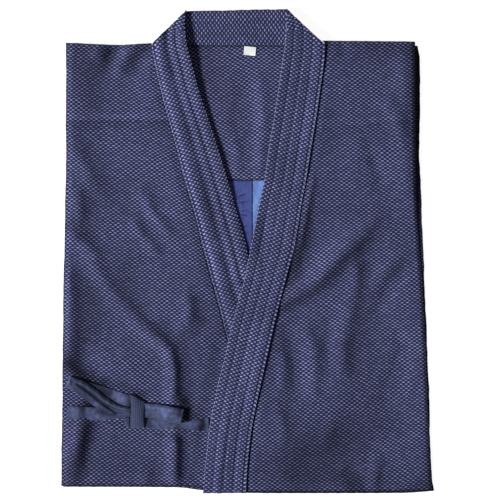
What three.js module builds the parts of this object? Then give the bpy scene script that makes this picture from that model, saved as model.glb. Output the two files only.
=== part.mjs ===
import * as THREE from "three";

// Kendo jacket laid flat with its sleeves folded behind the body.
// Millimetres. Neck toward +Y, underside on Z = 0, left and right are the picture's.

// Cloth and tape thicknesses
const frontThickness = 1.6;
const yokeThickness = 1.6;
const liningThickness = 1;
const bandThickness = 4.4;
const neckBandThickness = 4.2;
const tapeThickness = 1.4;
const labelThickness = 0.6;

// Clearances between separate pieces
const seamGap = 0.3;
const restGap = 0.4;

// Height of the folded layers under the sleeves and lower down
const upperStack = 9;
const lowerStack = 2.6;
const stackRampLow = -20;
const stackRampHigh = 190;

// Sizes of the collar strip
const bandRidge = 1.3;
const liningReach = 2.1;

// Hem, neck seam and yoke lines
const neckSeamY = 349.4;
const yokeLowerY = 121.6;
const liningEndY = -34;
const liningSplitX = 7.1;

// Rounded cloth edges: how far in, and at which share of the height.
// A groove between layers is only as deep as the stack there is high.
const thinEdge = [
  { inset: 0.4, level: 1 },
  { inset: 0, level: 0.5 },
  { inset: 0.4, level: 0 },
];
const bandEdge = [
  { inset: 1.6, level: 1 },
  { inset: 0.3, level: 0.78 },
  { inset: 0, level: 0.42 },
  { inset: 1.1, level: 0 },
];
const foldedEdge = [
  { inset: 5, level: 1 },
  { inset: 2, level: 0.95 },
  { inset: 0.3, level: 0.86 },
  { inset: 0, level: 0.77 },
  { inset: 0.3, level: 0.67, groove: 1.7 },
  { inset: 0.4, level: 0.57 },
  { inset: 0.4, level: 0.45 },
  { inset: 0.3, level: 0.34, groove: 1.8 },
  { inset: 0.1, level: 0.24 },
  { inset: 0.2, level: 0.1 },
  { inset: 1.2, level: 0 },
];

// Outline of the viewer's left side, hem to shoulder
const leftSideRows = [
  { y: -400, x: -318 },
  { y: -250, x: -316.2 },
  { y: -80, x: -314.5 },
  { y: 0, x: -312.8 },
  { y: 175, x: -309.4 },
  { y: 356, x: -309.4 },
];

// Outline of the upper front on the viewer's right
const rightFrontRows = [
  { y: -411, x: 314.6 },
  { y: -320, x: 309.4 },
  { y: -200, x: 304.3 },
  { y: -82, x: 299.2 },
  { y: 2, x: 292.4 },
  { y: 122, x: 286 },
  { y: 356, x: 284 },
];

// Outline of the folded layers behind, viewer's right
const rightBackRows = [
  { y: -408, x: 318 },
  { y: -380, x: 313.4 },
  { y: -252, x: 309.6 },
  { y: -82, x: 302.8 },
  { y: 2, x: 299.4 },
  { y: 90, x: 296 },
  { y: 175, x: 292.6 },
  { y: 300, x: 294 },
  { y: 330, x: 293 },
  { y: 356, x: 288 },
];

// Upper outline of the folded layers, left to right
const backTopRows = [
  { x: -309, y: 350 },
  { x: -218, y: 347 },
  { x: -166, y: 350 },
  { x: -132, y: 382 },
  { x: -104, y: 403 },
  { x: -20, y: 405 },
  { x: 64, y: 406 },
  { x: 96, y: 380 },
  { x: 121, y: 355 },
  { x: 150, y: 352 },
  { x: 294, y: 350 },
];

// Lower outline of the folded layers, left to right
const backHemRows = [
  { x: -318, y: -401 },
  { x: -120, y: -402 },
  { x: -76, y: -407 },
  { x: 40, y: -412 },
  { x: 150, y: -412 },
  { x: 260, y: -411.6 },
  { x: 318, y: -408 },
];

// Top and hem lines of the two fronts
const leftShoulderRows = [
  { x: -310, y: 355 },
  { x: -218, y: 351 },
  { x: -164, y: 354 },
];
const leftHemRows = [
  { x: -318, y: -399 },
  { x: -116, y: -399.5 },
  { x: -76, y: -403 },
  { x: -40, y: -404 },
];
const rightShoulderRows = [
  { x: 121, y: 358 },
  { x: 200, y: 357.5 },
  { x: 284, y: 356.5 },
];
const rightHemRows = [
  { x: -2, y: -411 },
  { x: 131, y: -411 },
  { x: 258, y: -410 },
  { x: 315, y: -407.5 },
];

// Sections of the upper collar band, hem to neck fold
const upperBandRows = [
  { leftX: -76.5, leftY: -411, rightX: -2.4, rightY: -411 },
  { leftX: -74, leftY: -375, rightX: -0.5, rightY: -375 },
  { leftX: -70.4, leftY: -343, rightX: 2.4, rightY: -343 },
  { leftX: -65.6, leftY: -300, rightX: 7.8, rightY: -300 },
  { leftX: -57.4, leftY: -256, rightX: 16.4, rightY: -256 },
  { leftX: -48, leftY: -212, rightX: 26, rightY: -212 },
  { leftX: -38.4, leftY: -174, rightX: 34.4, rightY: -174 },
  { leftX: -30.4, leftY: -138, rightX: 42.6, rightY: -138 },
  { leftX: -22, leftY: -106, rightX: 50, rightY: -106 },
  { leftX: -14, leftY: -74, rightX: 58, rightY: -74 },
  { leftX: -6.4, leftY: -48, rightX: 65, rightY: -48 },
  { leftX: -1, leftY: -22, rightX: 72, rightY: -22 },
  { leftX: 4.4, leftY: 6, rightX: 80, rightY: 6 },
  { leftX: 12.4, leftY: 47, rightX: 87, rightY: 47 },
  { leftX: 20.4, leftY: 87, rightX: 93.4, rightY: 87 },
  { leftX: 28, leftY: 121, rightX: 99.8, rightY: 121 },
  { leftX: 35, leftY: 171, rightX: 107.8, rightY: 171 },
  { leftX: 43.4, leftY: 222, rightX: 116.4, rightY: 222 },
  { leftX: 51, leftY: 271, rightX: 123.4, rightY: 271 },
  { leftX: 57.6, leftY: 318, rightX: 128.8, rightY: 310 },
  { leftX: 61.8, leftY: 346, rightX: 130.8, rightY: 332 },
  { leftX: 64, leftY: 372, rightX: 131, rightY: 348 },
  { leftX: 65.4, leftY: 394, rightX: 127.6, rightY: 354 },
  { leftX: 65, leftY: 412, rightX: 120.7, rightY: 359.6 },
];

// Sections of the lower collar band, its covered end to neck fold
const lowerBandRows = [
  { leftX: -24, leftY: -190, rightX: 14, rightY: -48 },
  { leftX: -34, leftY: -154, rightX: 10, rightY: -35 },
  { leftX: -42.6, leftY: -120, rightX: 5, rightY: -22 },
  { leftX: -50, leftY: -92, rightX: 0, rightY: -10 },
  { leftX: -57.4, leftY: -66, rightX: -2, rightY: 2 },
  { leftX: -64, leftY: -42, rightX: -4.4, rightY: 14 },
  { leftX: -69.8, leftY: -20, rightX: -7.4, rightY: 26 },
  { leftX: -76, leftY: 2, rightX: -10.6, rightY: 38 },
  { leftX: -82, leftY: 26, rightX: -15, rightY: 53 },
  { leftX: -89, leftY: 56, rightX: -21.6, rightY: 74 },
  { leftX: -99, leftY: 90, rightX: -27, rightY: 95 },
  { leftX: -108, leftY: 121, rightX: -34.6, rightY: 121 },
  { leftX: -120.4, leftY: 170, rightX: -49.6, rightY: 170 },
  { leftX: -135, leftY: 222, rightX: -66.3, rightY: 222 },
  { leftX: -148.4, leftY: 271, rightX: -83, rightY: 271 },
  { leftX: -157, leftY: 310, rightX: -94.6, rightY: 316 },
  { leftX: -161.4, leftY: 332, rightX: -102.4, rightY: 345 },
  { leftX: -163.4, leftY: 347, rightX: -106.2, rightY: 370 },
  { leftX: -161.4, leftY: 353, rightX: -107.2, rightY: 392 },
  { leftX: -157.4, leftY: 358, rightX: -104.4, rightY: 409 },
];

// How far the lower band's free edge stands up, by height on the jacket
const lowerBandRise = [
  { y: -30, rise: 0 },
  { y: 10, rise: 1.2 },
  { y: 60, rise: 4 },
  { y: 120, rise: 7 },
  { y: 200, rise: 11 },
  { y: 300, rise: 16 },
  { y: 350, rise: 17 },
  { y: 409, rise: 8 },
];

// The same for the upper band
const upperBandRise = [
  { y: -411, rise: 0.6 },
  { y: -60, rise: 1.2 },
  { y: 60, rise: 3 },
  { y: 200, rise: 6 },
  { y: 320, rise: 7 },
  { y: 412, rise: 1 },
];

// Folds of the left front: a ridge line per fold, a row per point
const leftFrontFolds = [
  [
    { x: -236, y: 346, rise: 0, spread: 11 },
    { x: -218, y: 322, rise: 2.6, spread: 13 },
    { x: -226, y: 286, rise: 0, spread: 15 },
  ],
  [
    { x: -196, y: 340, rise: 0, spread: 11 },
    { x: -182, y: 312, rise: 2.4, spread: 13 },
    { x: -178, y: 270, rise: 0, spread: 14 },
  ],
  [
    { x: -300, y: 66, rise: 0, spread: 15 },
    { x: -272, y: 36, rise: 3, spread: 17 },
    { x: -240, y: 4, rise: 0, spread: 15 },
  ],
  [
    { x: -196, y: 118, rise: 0, spread: 14 },
    { x: -160, y: 78, rise: 3.2, spread: 15 },
    { x: -128, y: 44, rise: 0, spread: 13 },
  ],
  [
    { x: -302, y: -22, rise: 0, spread: 15 },
    { x: -250, y: -58, rise: 3.4, spread: 18 },
    { x: -190, y: -98, rise: 4.2, spread: 19 },
    { x: -138, y: -134, rise: 3.2, spread: 17 },
    { x: -104, y: -176, rise: 1.6, spread: 15 },
    { x: -98, y: -226, rise: 0, spread: 14 },
  ],
  [
    { x: -300, y: -150, rise: 0, spread: 16 },
    { x: -262, y: -196, rise: 2, spread: 17 },
    { x: -240, y: -236, rise: 0, spread: 15 },
  ],
  [
    { x: -136, y: -318, rise: 0, spread: 14 },
    { x: -134, y: -356, rise: 2, spread: 15 },
    { x: -130, y: -392, rise: 0, spread: 14 },
  ],
];

// Folds of the right front
const rightFrontFolds = [
  [
    { x: 84, y: -84, rise: 0, spread: 14 },
    { x: 122, y: -58, rise: 4, spread: 16 },
    { x: 164, y: 6, rise: 4.6, spread: 18 },
    { x: 206, y: 52, rise: 0, spread: 17 },
  ],
  [
    { x: 206, y: -12, rise: 0, spread: 15 },
    { x: 202, y: -66, rise: 3.6, spread: 17 },
    { x: 186, y: -130, rise: 3.2, spread: 17 },
    { x: 182, y: -200, rise: 0, spread: 15 },
  ],
  [
    { x: 76, y: -120, rise: 0, spread: 15 },
    { x: 100, y: -170, rise: 3.8, spread: 17 },
    { x: 112, y: -232, rise: 0, spread: 16 },
  ],
  [
    { x: 280, y: 16, rise: 0, spread: 14 },
    { x: 252, y: -30, rise: 2.2, spread: 16 },
    { x: 240, y: -76, rise: 0, spread: 15 },
  ],
  [
    { x: 150, y: -90, rise: 0, spread: 14 },
    { x: 142, y: -130, rise: 2.4, spread: 15 },
    { x: 138, y: -176, rise: 0, spread: 14 },
  ],
  [
    { x: 236, y: -178, rise: 0, spread: 16 },
    { x: 228, y: -216, rise: 2.4, spread: 18 },
    { x: 236, y: -262, rise: 0, spread: 16 },
  ],
];

// Tape pieces of the tied bow: low and high edge at each x
const sideTapeRows = [
  { x: -306, lowY: -285.6, highY: -262.6 },
  { x: -274, lowY: -286.6, highY: -263.4 },
  { x: -240, lowY: -285.4, highY: -264 },
  { x: -214, lowY: -281, highY: -265.6 },
  { x: -200.8, lowY: -279, highY: -268 },
];
const bandTapeRows = [
  { x: -175, lowY: -300, highY: -277 },
  { x: -150, lowY: -302, highY: -280 },
  { x: -126, lowY: -303, highY: -284 },
  { x: -106, lowY: -305, highY: -286 },
  { x: -84, lowY: -306, highY: -284 },
  { x: -67.4, lowY: -306.4, highY: -283 },
];
const tailRows = [
  { leftX: -175, rightX: -175, lowY: -282, highY: -257 },
  { leftX: -154, rightX: -153, lowY: -285, highY: -259.6 },
  { leftX: -134, rightX: -131, lowY: -288.4, highY: -264 },
  { leftX: -114, rightX: -109.8, lowY: -291.6, highY: -268.3 },
];
const loopRows = [
  { x: -204, y: -269, rise: 3, width: 13 },
  { x: -228, y: -259, rise: 3.1, width: 18 },
  { x: -264, y: -241, rise: 3.1, width: 22 },
  { x: -297, y: -223, rise: 3.3, width: 22 },
  { x: -302.6, y: -220, rise: 5, width: 21 },
  { x: -297, y: -222, rise: 6.8, width: 22 },
  { x: -264, y: -237, rise: 7.8, width: 23 },
  { x: -228, y: -248, rise: 7.6, width: 22 },
  { x: -205.4, y: -252.6, rise: 6.6, width: 18 },
];

// Knot of the bow
const knotLeftX = -200.3;
const knotRightX = -175.6;
const knotLowY = -299;
const knotHighY = -244;
const knotHeight = 9.5;
const tailArch = 1.6;

// Size label at the neck
const labelX = 3.4;
const labelY = 340;
const labelWidth = 21;
const labelHeight = 15.6;
const labelTurn = -0.04;

// Reads one column of a table at a place between its rows
function readRows(rows, place, key, column) {
  const first = rows[0];
  const last = rows[rows.length - 1];
  if (place <= first[key]) return first[column];
  if (place >= last[key]) return last[column];
  let index = 0;
  while (rows[index + 1][key] < place) index += 1;
  const low = rows[index];
  const high = rows[index + 1];
  const share = (place - low[key]) / (high[key] - low[key]);
  return low[column] + share * (high[column] - low[column]);
}

function smoothStep(low, high, value) {
  const t = Math.min(1, Math.max(0, (value - low) / (high - low)));
  return t * t * (3 - 2 * t);
}

function mix(low, high, share) {
  return low + (high - low) * share;
}

// Height of one ridge line at a point
function foldHeight(fold, x, y) {
  let best = 0;
  for (let i = 0; i + 1 < fold.length; i += 1) {
    const a = fold[i];
    const b = fold[i + 1];
    const dx = b.x - a.x;
    const dy = b.y - a.y;
    const raw = ((x - a.x) * dx + (y - a.y) * dy) / (dx * dx + dy * dy);
    const t = Math.min(1, Math.max(0, raw));
    const away = Math.hypot(x - a.x - t * dx, y - a.y - t * dy);
    const spread = mix(a.spread, b.spread, t);
    const rise = mix(a.rise, b.rise, smoothStep(0, 1, t));
    best = Math.max(best, rise * Math.exp(-0.5 * (away / spread) ** 2));
  }
  return best;
}

function foldsHeight(folds, x, y) {
  return folds.reduce((sum, fold) => sum + foldHeight(fold, x, y), 0);
}

// Top of the folded layers
function stackTop(x, y) {
  return mix(lowerStack, upperStack, smoothStep(stackRampLow, stackRampHigh, y));
}

// Edge of the lower band's seam, then a hidden edge under the upper band
const leftFrontSeamRows = [
  { y: -411, x: -56 },
  { y: -230, x: -32 },
  { y: -188, x: -29 },
  { y: -154, x: -34.4 },
  { y: -120, x: -43 },
  { y: -92, x: -50.4 },
  { y: -66, x: -57.8 },
  { y: -42, x: -64.4 },
  { y: -20, x: -70.2 },
  { y: 2, x: -76.4 },
  { y: 26, x: -82.4 },
  { y: 56, x: -89.4 },
  { y: 90, x: -99.4 },
  { y: 121, x: -108.4 },
  { y: 170, x: -120.8 },
  { y: 222, x: -135.4 },
  { y: 271, x: -148.8 },
  { y: 310, x: -157.4 },
  { y: 332, x: -161.8 },
  { y: 354, x: -163.8 },
];

// Seam between the upper band and the right front
const rightFrontSeamRows = upperBandRows.map((row) => ({ y: row.rightY, x: row.rightX + seamGap + 0.1 }));

// Lift of each front above the folded layers, pressed down at its edges
function leftFrontLift(x, y) {
  const side = smoothStep(0, 26, x - readRows(leftSideRows, y, "y", "x"));
  const band = smoothStep(4, 30, readRows(leftFrontSeamRows, y, "y", "x") - x);
  const under = smoothStep(6, 34, readRows(upperBandRows, y, "leftY", "leftX") - x);
  const ends = smoothStep(-402, -372, y) * (1 - smoothStep(330, 354, y));
  const ties = smoothStep(22, 46, Math.abs(y + 262) - 18);
  return (0.5 + foldsHeight(leftFrontFolds, x, y)) * side * Math.min(band, under) * ends * ties;
}

function rightFrontLift(x, y) {
  const side = smoothStep(0, 26, readRows(rightFrontRows, y, "y", "x") - x);
  const band = smoothStep(4, 28, x - readRows(rightFrontSeamRows, y, "y", "x"));
  const ends = smoothStep(-411, -380, y) * (1 - smoothStep(330, 357, y));
  return (0.5 + foldsHeight(rightFrontFolds, x, y)) * side * band * ends;
}

function leftFrontBottom(x, y) {
  return stackTop(x, y) + seamGap + leftFrontLift(x, y);
}

function leftFrontTop(x, y) {
  return leftFrontBottom(x, y) + frontThickness;
}

function rightFrontBottom(x, y) {
  return stackTop(x, y) + seamGap + rightFrontLift(x, y);
}

// Ridged thickness across a band: u runs from 0 to 1 over its width
function ridgedThickness(thickness, grooves, u) {
  let depth = 0;
  for (const groove of grooves) {
    depth = Math.max(depth, Math.exp(-(((u - groove) / 0.045) ** 2)));
  }
  return thickness - bandRidge * depth;
}

const upperBandGrooves = [0.21, 0.45, 0.69];
const lowerBandGrooves = [0.48, 0.71];
const neckBandGrooves = [0.34, 0.68];

// Extra height where a front band passes over the neck band
function neckReach(y) {
  return (neckBandThickness + restGap) * smoothStep(296, 338, y);
}

function lowerBandBottom(x, y, u) {
  const lining = liningReach * smoothStep(0.2, 0.55, u);
  const rise = readRows(lowerBandRise, y, "y", "rise") * u ** 1.6;
  return stackTop(x, y) + restGap + Math.max(lining, neckReach(y)) + rise;
}

// Share of the lower band's footprint at a point, grown by a margin
function lowerBandCover(x, y) {
  const seam = x - readRows(lowerBandRows, y, "leftY", "leftX");
  const free = readRows(lowerBandRows, y, "rightY", "rightX") - x;
  const endX = 38;
  const endY = 142;
  const length = Math.hypot(endX, endY);
  const end = ((y + 190) * endX - (x + 24) * endY) / length;
  return smoothStep(-26, -10, Math.min(seam, y > -48 ? free : seam, end));
}

function leftFrontCover(x, y) {
  return smoothStep(-26, -9, readRows(leftFrontSeamRows, y, "y", "x") - x);
}

function upperBandBottom(x, y, u) {
  const lining = liningReach * (1 - smoothStep(0.5, 0.8, u)) * smoothStep(-84, -56, y);
  const crossing = (liningReach + bandThickness + restGap + 0.5) * lowerBandCover(x, y);
  const front = (frontThickness + seamGap + 0.4) * leftFrontCover(x, y);
  const beneath = Math.max(lining, crossing, front, neckReach(y));
  const rise = readRows(upperBandRise, y, "y", "rise") * (1 - smoothStep(0, 0.6, u));
  return stackTop(x, y) + restGap + beneath + rise;
}

// Closed body with a rounded edge, from a grid of sections
function sheetBody(name, material, spec) {
  const { columns, rows, plan, bottom, thickness, edge } = spec;
  const nu = columns.length;
  const nv = rows.length;
  const flat = [];
  for (let j = 0; j < nv; j += 1) {
    for (let i = 0; i < nu; i += 1) flat.push(plan(columns[i], rows[j]));
  }
  const loop = [];
  for (let i = 0; i < nu - 1; i += 1) loop.push([i, 0]);
  for (let j = 0; j < nv - 1; j += 1) loop.push([nu - 1, j]);
  for (let i = nu - 1; i > 0; i -= 1) loop.push([i, nv - 1]);
  for (let j = nv - 1; j > 0; j -= 1) loop.push([0, j]);
  const count = loop.length;
  const outward = loop.map((cell, k) => {
    const here = flat[cell[1] * nu + cell[0]];
    const back = loop[(k + count - 1) % count];
    const next = loop[(k + 1) % count];
    const before = flat[back[1] * nu + back[0]];
    const after = flat[next[1] * nu + next[0]];
    const inLength = Math.hypot(here[0] - before[0], here[1] - before[1]);
    const outLength = Math.hypot(after[0] - here[0], after[1] - here[1]);
    const tx = (here[0] - before[0]) / inLength + (after[0] - here[0]) / outLength;
    const ty = (here[1] - before[1]) / inLength + (after[1] - here[1]) / outLength;
    const length = Math.hypot(tx, ty);
    return [ty / length, -tx / length];
  });
  const points = [];
  const topIndex = [];
  const bottomIndex = [];
  const pushPoint = (x, y, z) => {
    points.push(x, y, z);
    return points.length / 3 - 1;
  };
  const onLoop = new Map(loop.map((cell, k) => [cell[1] * nu + cell[0], k]));
  for (const level of [1, 0]) {
    for (let j = 0; j < nv; j += 1) {
      for (let i = 0; i < nu; i += 1) {
        const at = j * nu + i;
        let [x, y] = flat[at];
        const k = onLoop.get(at);
        if (k !== undefined) {
          const inset = level === 1 ? edge[0].inset : edge[edge.length - 1].inset;
          x -= outward[k][0] * inset;
          y -= outward[k][1] * inset;
        }
        const low = bottom(x, y, columns[i], rows[j]);
        const z = level === 1 ? low + thickness(x, y, columns[i], rows[j]) : low;
        (level === 1 ? topIndex : bottomIndex).push(pushPoint(x, y, z));
      }
    }
  }
  const rings = [loop.map((cell) => topIndex[cell[1] * nu + cell[0]])];
  for (const step of edge.slice(1, -1)) {
    rings.push(
      loop.map((cell, k) => {
        const at = cell[1] * nu + cell[0];
        const groove = (step.groove ?? 0) * smoothStep(stackRampLow, stackRampHigh, flat[at][1]);
        const inset = step.inset + groove;
        const x = flat[at][0] - outward[k][0] * inset;
        const y = flat[at][1] - outward[k][1] * inset;
        const low = bottom(x, y, columns[cell[0]], rows[cell[1]]);
        const high = low + thickness(x, y, columns[cell[0]], rows[cell[1]]);
        return pushPoint(x, y, mix(low, high, step.level));
      }),
    );
  }
  rings.push(loop.map((cell) => bottomIndex[cell[1] * nu + cell[0]]));
  const faces = [];
  for (let j = 0; j + 1 < nv; j += 1) {
    for (let i = 0; i + 1 < nu; i += 1) {
      const a = j * nu + i;
      const b = a + 1;
      const c = a + nu + 1;
      const d = a + nu;
      faces.push(topIndex[a], topIndex[b], topIndex[c], topIndex[a], topIndex[c], topIndex[d]);
      faces.push(bottomIndex[a], bottomIndex[c], bottomIndex[b]);
      faces.push(bottomIndex[a], bottomIndex[d], bottomIndex[c]);
    }
  }
  for (let r = 0; r + 1 < rings.length; r += 1) {
    for (let k = 0; k < count; k += 1) {
      const next = (k + 1) % count;
      const upper = rings[r];
      const lower = rings[r + 1];
      faces.push(lower[k], lower[next], upper[next], lower[k], upper[next], upper[k]);
    }
  }
  return bodyMesh(name, material, points, faces);
}

function bodyMesh(name, material, points, faces) {
  const geometry = new THREE.BufferGeometry();
  geometry.setAttribute("position", new THREE.Float32BufferAttribute(points, 3));
  geometry.setIndex(faces);
  geometry.computeVertexNormals();
  const mesh = new THREE.Mesh(geometry, material);
  mesh.name = name;
  return mesh;
}

// Closed tape swept through sections that keep one width direction
function tapeBody(name, material, rows, widthAngle, ground) {
  const across = new THREE.Vector3(Math.cos(widthAngle), Math.sin(widthAngle), 0);
  const centres = rows.map((row) => new THREE.Vector3(row.x, row.y, ground(row.x, row.y) + row.rise));
  const ring = [
    [0.5, 0],
    [0.46, 0.5],
    [0, 0.5],
    [-0.46, 0.5],
    [-0.5, 0],
    [-0.46, -0.5],
    [0, -0.5],
    [0.46, -0.5],
  ];
  const points = [];
  centres.forEach((centre, index) => {
    const before = centres[Math.max(0, index - 1)];
    const after = centres[Math.min(centres.length - 1, index + 1)];
    const along = after.clone().sub(before).normalize();
    const normal = along.clone().cross(across).normalize();
    for (const [side, depth] of ring) {
      const point = centre.clone();
      point.addScaledVector(across, side * rows[index].width);
      point.addScaledVector(normal, depth * tapeThickness);
      points.push(point.x, point.y, point.z);
    }
  });
  const sides = ring.length;
  const faces = [];
  for (let s = 0; s + 1 < centres.length; s += 1) {
    for (let k = 0; k < sides; k += 1) {
      const a = s * sides + k;
      const b = s * sides + ((k + 1) % sides);
      faces.push(a, b, b + sides, a, b + sides, a + sides);
    }
  }
  const last = (centres.length - 1) * sides;
  for (let k = 1; k + 1 < sides; k += 1) {
    faces.push(0, k + 1, k);
    faces.push(last, last + k, last + k + 1);
  }
  return bodyMesh(name, material, points, faces);
}

function evenSteps(count) {
  return Array.from({ length: count + 1 }, (_, i) => i / count);
}

function clothMaterial(name, color, roughness) {
  const material = new THREE.MeshStandardMaterial({ color, roughness, metalness: 0 });
  material.name = name;
  return material;
}

const flatThickness = (size) => () => size;
const jacket = new THREE.Group();
jacket.name = "kendo_jacket";

// Folded back and sleeves: one rounded solid, layered at its edges
const backColumns = [0, 0.04, 0.11, 0.18, 0.234, 0.29, 0.336, 0.41, 0.48, 0.55, 0.616, 0.67, 0.715, 0.79, 0.88]
  .concat([0.96, 1]);
const backRows = [0, 0.04, 0.09, 0.14, 0.2, 0.26, 0.32, 0.38, 0.44, 0.5, 0.55, 0.6, 0.65, 0.7, 0.76, 0.83]
  .concat([0.9, 0.96, 1]);
jacket.add(
  sheetBody("folded_back_and_sleeves", clothMaterial("folded_sashiko", "#3c3e5e", 0.95), {
    columns: backColumns,
    rows: backRows,
    plan: (u, v) => {
      const nominal = mix(-408, 352, v);
      const left = readRows(leftSideRows, nominal, "y", "x") + 3;
      const right = readRows(rightBackRows, nominal, "y", "x");
      const x = mix(left, right, u);
      const low = readRows(backHemRows, x, "x", "y");
      const high = readRows(backTopRows, x, "x", "y");
      return [x, mix(low, high, v)];
    },
    bottom: () => 0,
    thickness: stackTop,
    edge: foldedEdge,
  }),
);

// Inside of the back, seen through the neck opening
jacket.add(
  sheetBody("back_yoke_inside", clothMaterial("yoke_sashiko", "#474a69", 0.95), {
    columns: evenSteps(8),
    rows: evenSteps(9),
    plan: (u, v) => {
      const y = mix(yokeLowerY, neckSeamY - seamGap, v);
      const left = readRows(lowerBandRows, y, "rightY", "rightX") - 22;
      const right = readRows(upperBandRows, y, "leftY", "leftX") + 22;
      return [mix(left, right, u), y];
    },
    bottom: (x, y) => stackTop(x, y) + seamGap,
    thickness: flatThickness(yokeThickness),
    edge: thinEdge,
  }),
);

// Smooth linings below the yoke
jacket.add(
  sheetBody("lining_navy", clothMaterial("navy_lining", "#42497a", 0.7), {
    columns: evenSteps(5),
    rows: evenSteps(8),
    plan: (u, v) => {
      const y = mix(liningEndY, yokeLowerY - seamGap, v);
      const left = readRows(lowerBandRows, y, "rightY", "rightX") - 22;
      return [mix(left, liningSplitX, u), y];
    },
    bottom: (x, y) => stackTop(x, y) + seamGap,
    thickness: flatThickness(liningThickness + 0.3),
    edge: thinEdge,
  }),
);
jacket.add(
  sheetBody("lining_light_blue", clothMaterial("light_blue_lining", "#6a93dc", 0.7), {
    columns: evenSteps(3),
    rows: evenSteps(8),
    plan: (u, v) => {
      const y = mix(liningEndY, yokeLowerY - seamGap, v);
      const right = readRows(upperBandRows, y, "leftY", "leftX") + 24;
      return [mix(liningSplitX + seamGap, right, u), y];
    },
    bottom: (x, y) => stackTop(x, y) + seamGap,
    thickness: flatThickness(liningThickness),
    edge: thinEdge,
  }),
);

// Lower front, the viewer's left
jacket.add(
  sheetBody("front_lower", clothMaterial("front_sashiko_lower", "#444665", 0.95), {
    columns: [0, 0.04, 0.1, 0.17, 0.24, 0.31, 0.38, 0.45, 0.52, 0.59, 0.66, 0.73, 0.8, 0.86, 0.92, 0.97, 1],
    rows: evenSteps(29),
    plan: (u, v) => {
      const nominal = mix(-400, 353, v);
      const left = readRows(leftSideRows, nominal, "y", "x");
      const right = readRows(leftFrontSeamRows, nominal, "y", "x");
      const x = mix(left, right, u);
      const low = readRows(leftHemRows, x, "x", "y");
      const high = readRows(leftShoulderRows, x, "x", "y");
      return [x, mix(low, high, v)];
    },
    bottom: leftFrontBottom,
    thickness: flatThickness(frontThickness),
    edge: thinEdge,
  }),
);

// Upper front, the viewer's right
jacket.add(
  sheetBody("front_upper", clothMaterial("front_sashiko_upper", "#424561", 0.95), {
    columns: [0, 0.03, 0.07, 0.13, 0.2, 0.27, 0.34, 0.41, 0.48, 0.55, 0.62, 0.69, 0.76, 0.83, 0.9, 0.96, 1],
    rows: evenSteps(29),
    plan: (u, v) => {
      const nominal = mix(-411, 356, v);
      const left = readRows(rightFrontSeamRows, nominal, "y", "x");
      const right = readRows(rightFrontRows, nominal, "y", "x");
      const x = mix(left, right, u);
      const low = readRows(rightHemRows, x, "x", "y");
      const high = readRows(rightShoulderRows, x, "x", "y");
      return [x, mix(low, high, v)];
    },
    bottom: rightFrontBottom,
    thickness: flatThickness(frontThickness),
    edge: thinEdge,
  }),
);

// Collar strip: two front bands and the back neck band
function bandSpec(rows, bottom, grooves, columns) {
  const last = rows.length - 1;
  return {
    columns,
    rows: evenSteps(last),
    plan: (u, v) => {
      const row = rows[Math.round(v * last)];
      return [mix(row.leftX, row.rightX, u), mix(row.leftY, row.rightY, u)];
    },
    bottom,
    thickness: (x, y, u) => ridgedThickness(bandThickness, grooves, u),
    edge: bandEdge,
  };
}

const upperBandColumns = [0, 0.09, 0.16, 0.21, 0.27, 0.4, 0.45, 0.51, 0.64, 0.69, 0.75, 0.9, 1];
const lowerBandColumns = [0, 0.12, 0.27, 0.42, 0.48, 0.54, 0.66, 0.71, 0.76, 0.89, 1];
jacket.add(
  sheetBody(
    "collar_band_lower",
    clothMaterial("collar_sashiko_lower", "#464968", 0.95),
    bandSpec(lowerBandRows, lowerBandBottom, lowerBandGrooves, lowerBandColumns),
  ),
);
jacket.add(
  sheetBody(
    "collar_band_upper",
    clothMaterial("collar_sashiko_upper", "#464968", 0.95),
    bandSpec(upperBandRows, upperBandBottom, upperBandGrooves, upperBandColumns),
  ),
);
jacket.add(
  sheetBody("collar_back_neck", clothMaterial("collar_sashiko_neck", "#464966", 0.95), {
    columns: evenSteps(12),
    rows: [0, 0.15, 0.28, 0.34, 0.4, 0.62, 0.68, 0.74, 0.88, 1],
    plan: (u, v) => {
      const low = mix(-160, 126.6, u);
      const high = mix(-105, 66, u);
      const top = mix(408, 411.6, u);
      return [mix(low, high, v), mix(neckSeamY, top, v)];
    },
    bottom: (x, y) => stackTop(x, y) + restGap,
    thickness: (x, y, u, v) => ridgedThickness(neckBandThickness, neckBandGrooves, v),
    edge: bandEdge,
  }),
);

// Size label on the yoke
jacket.add(
  sheetBody("size_label", clothMaterial("label_cloth", "#e6e9e7", 0.8), {
    columns: evenSteps(3),
    rows: evenSteps(2),
    plan: (u, v) => {
      const across = (u - 0.5) * labelWidth;
      const up = (v - 0.5) * labelHeight;
      const x = labelX + across * Math.cos(labelTurn) - up * Math.sin(labelTurn);
      const y = labelY + across * Math.sin(labelTurn) + up * Math.cos(labelTurn);
      return [x, y];
    },
    bottom: (x, y) => stackTop(x, y) + seamGap * 2 + yokeThickness,
    thickness: flatThickness(labelThickness),
    edge: [
      { inset: 0.15, level: 1 },
      { inset: 0, level: 0.5 },
      { inset: 0.15, level: 0 },
    ],
  }),
);

// Tied bow at the lower left
function tapePlan(rows) {
  const last = rows.length - 1;
  return (u, v) => {
    const row = rows[Math.round(u * last)];
    const leftX = row.leftX ?? row.x;
    const rightX = row.rightX ?? row.x;
    return [mix(leftX, rightX, v), mix(row.lowY, row.highY, v)];
  };
}

function flatTape(name, material, rows, rise) {
  return sheetBody(name, material, {
    columns: evenSteps(rows.length - 1),
    rows: evenSteps(3),
    plan: tapePlan(rows),
    bottom: (x, y, u) => leftFrontTop(x, y) + rise(u),
    thickness: flatThickness(tapeThickness),
    edge: thinEdge,
  });
}

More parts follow.
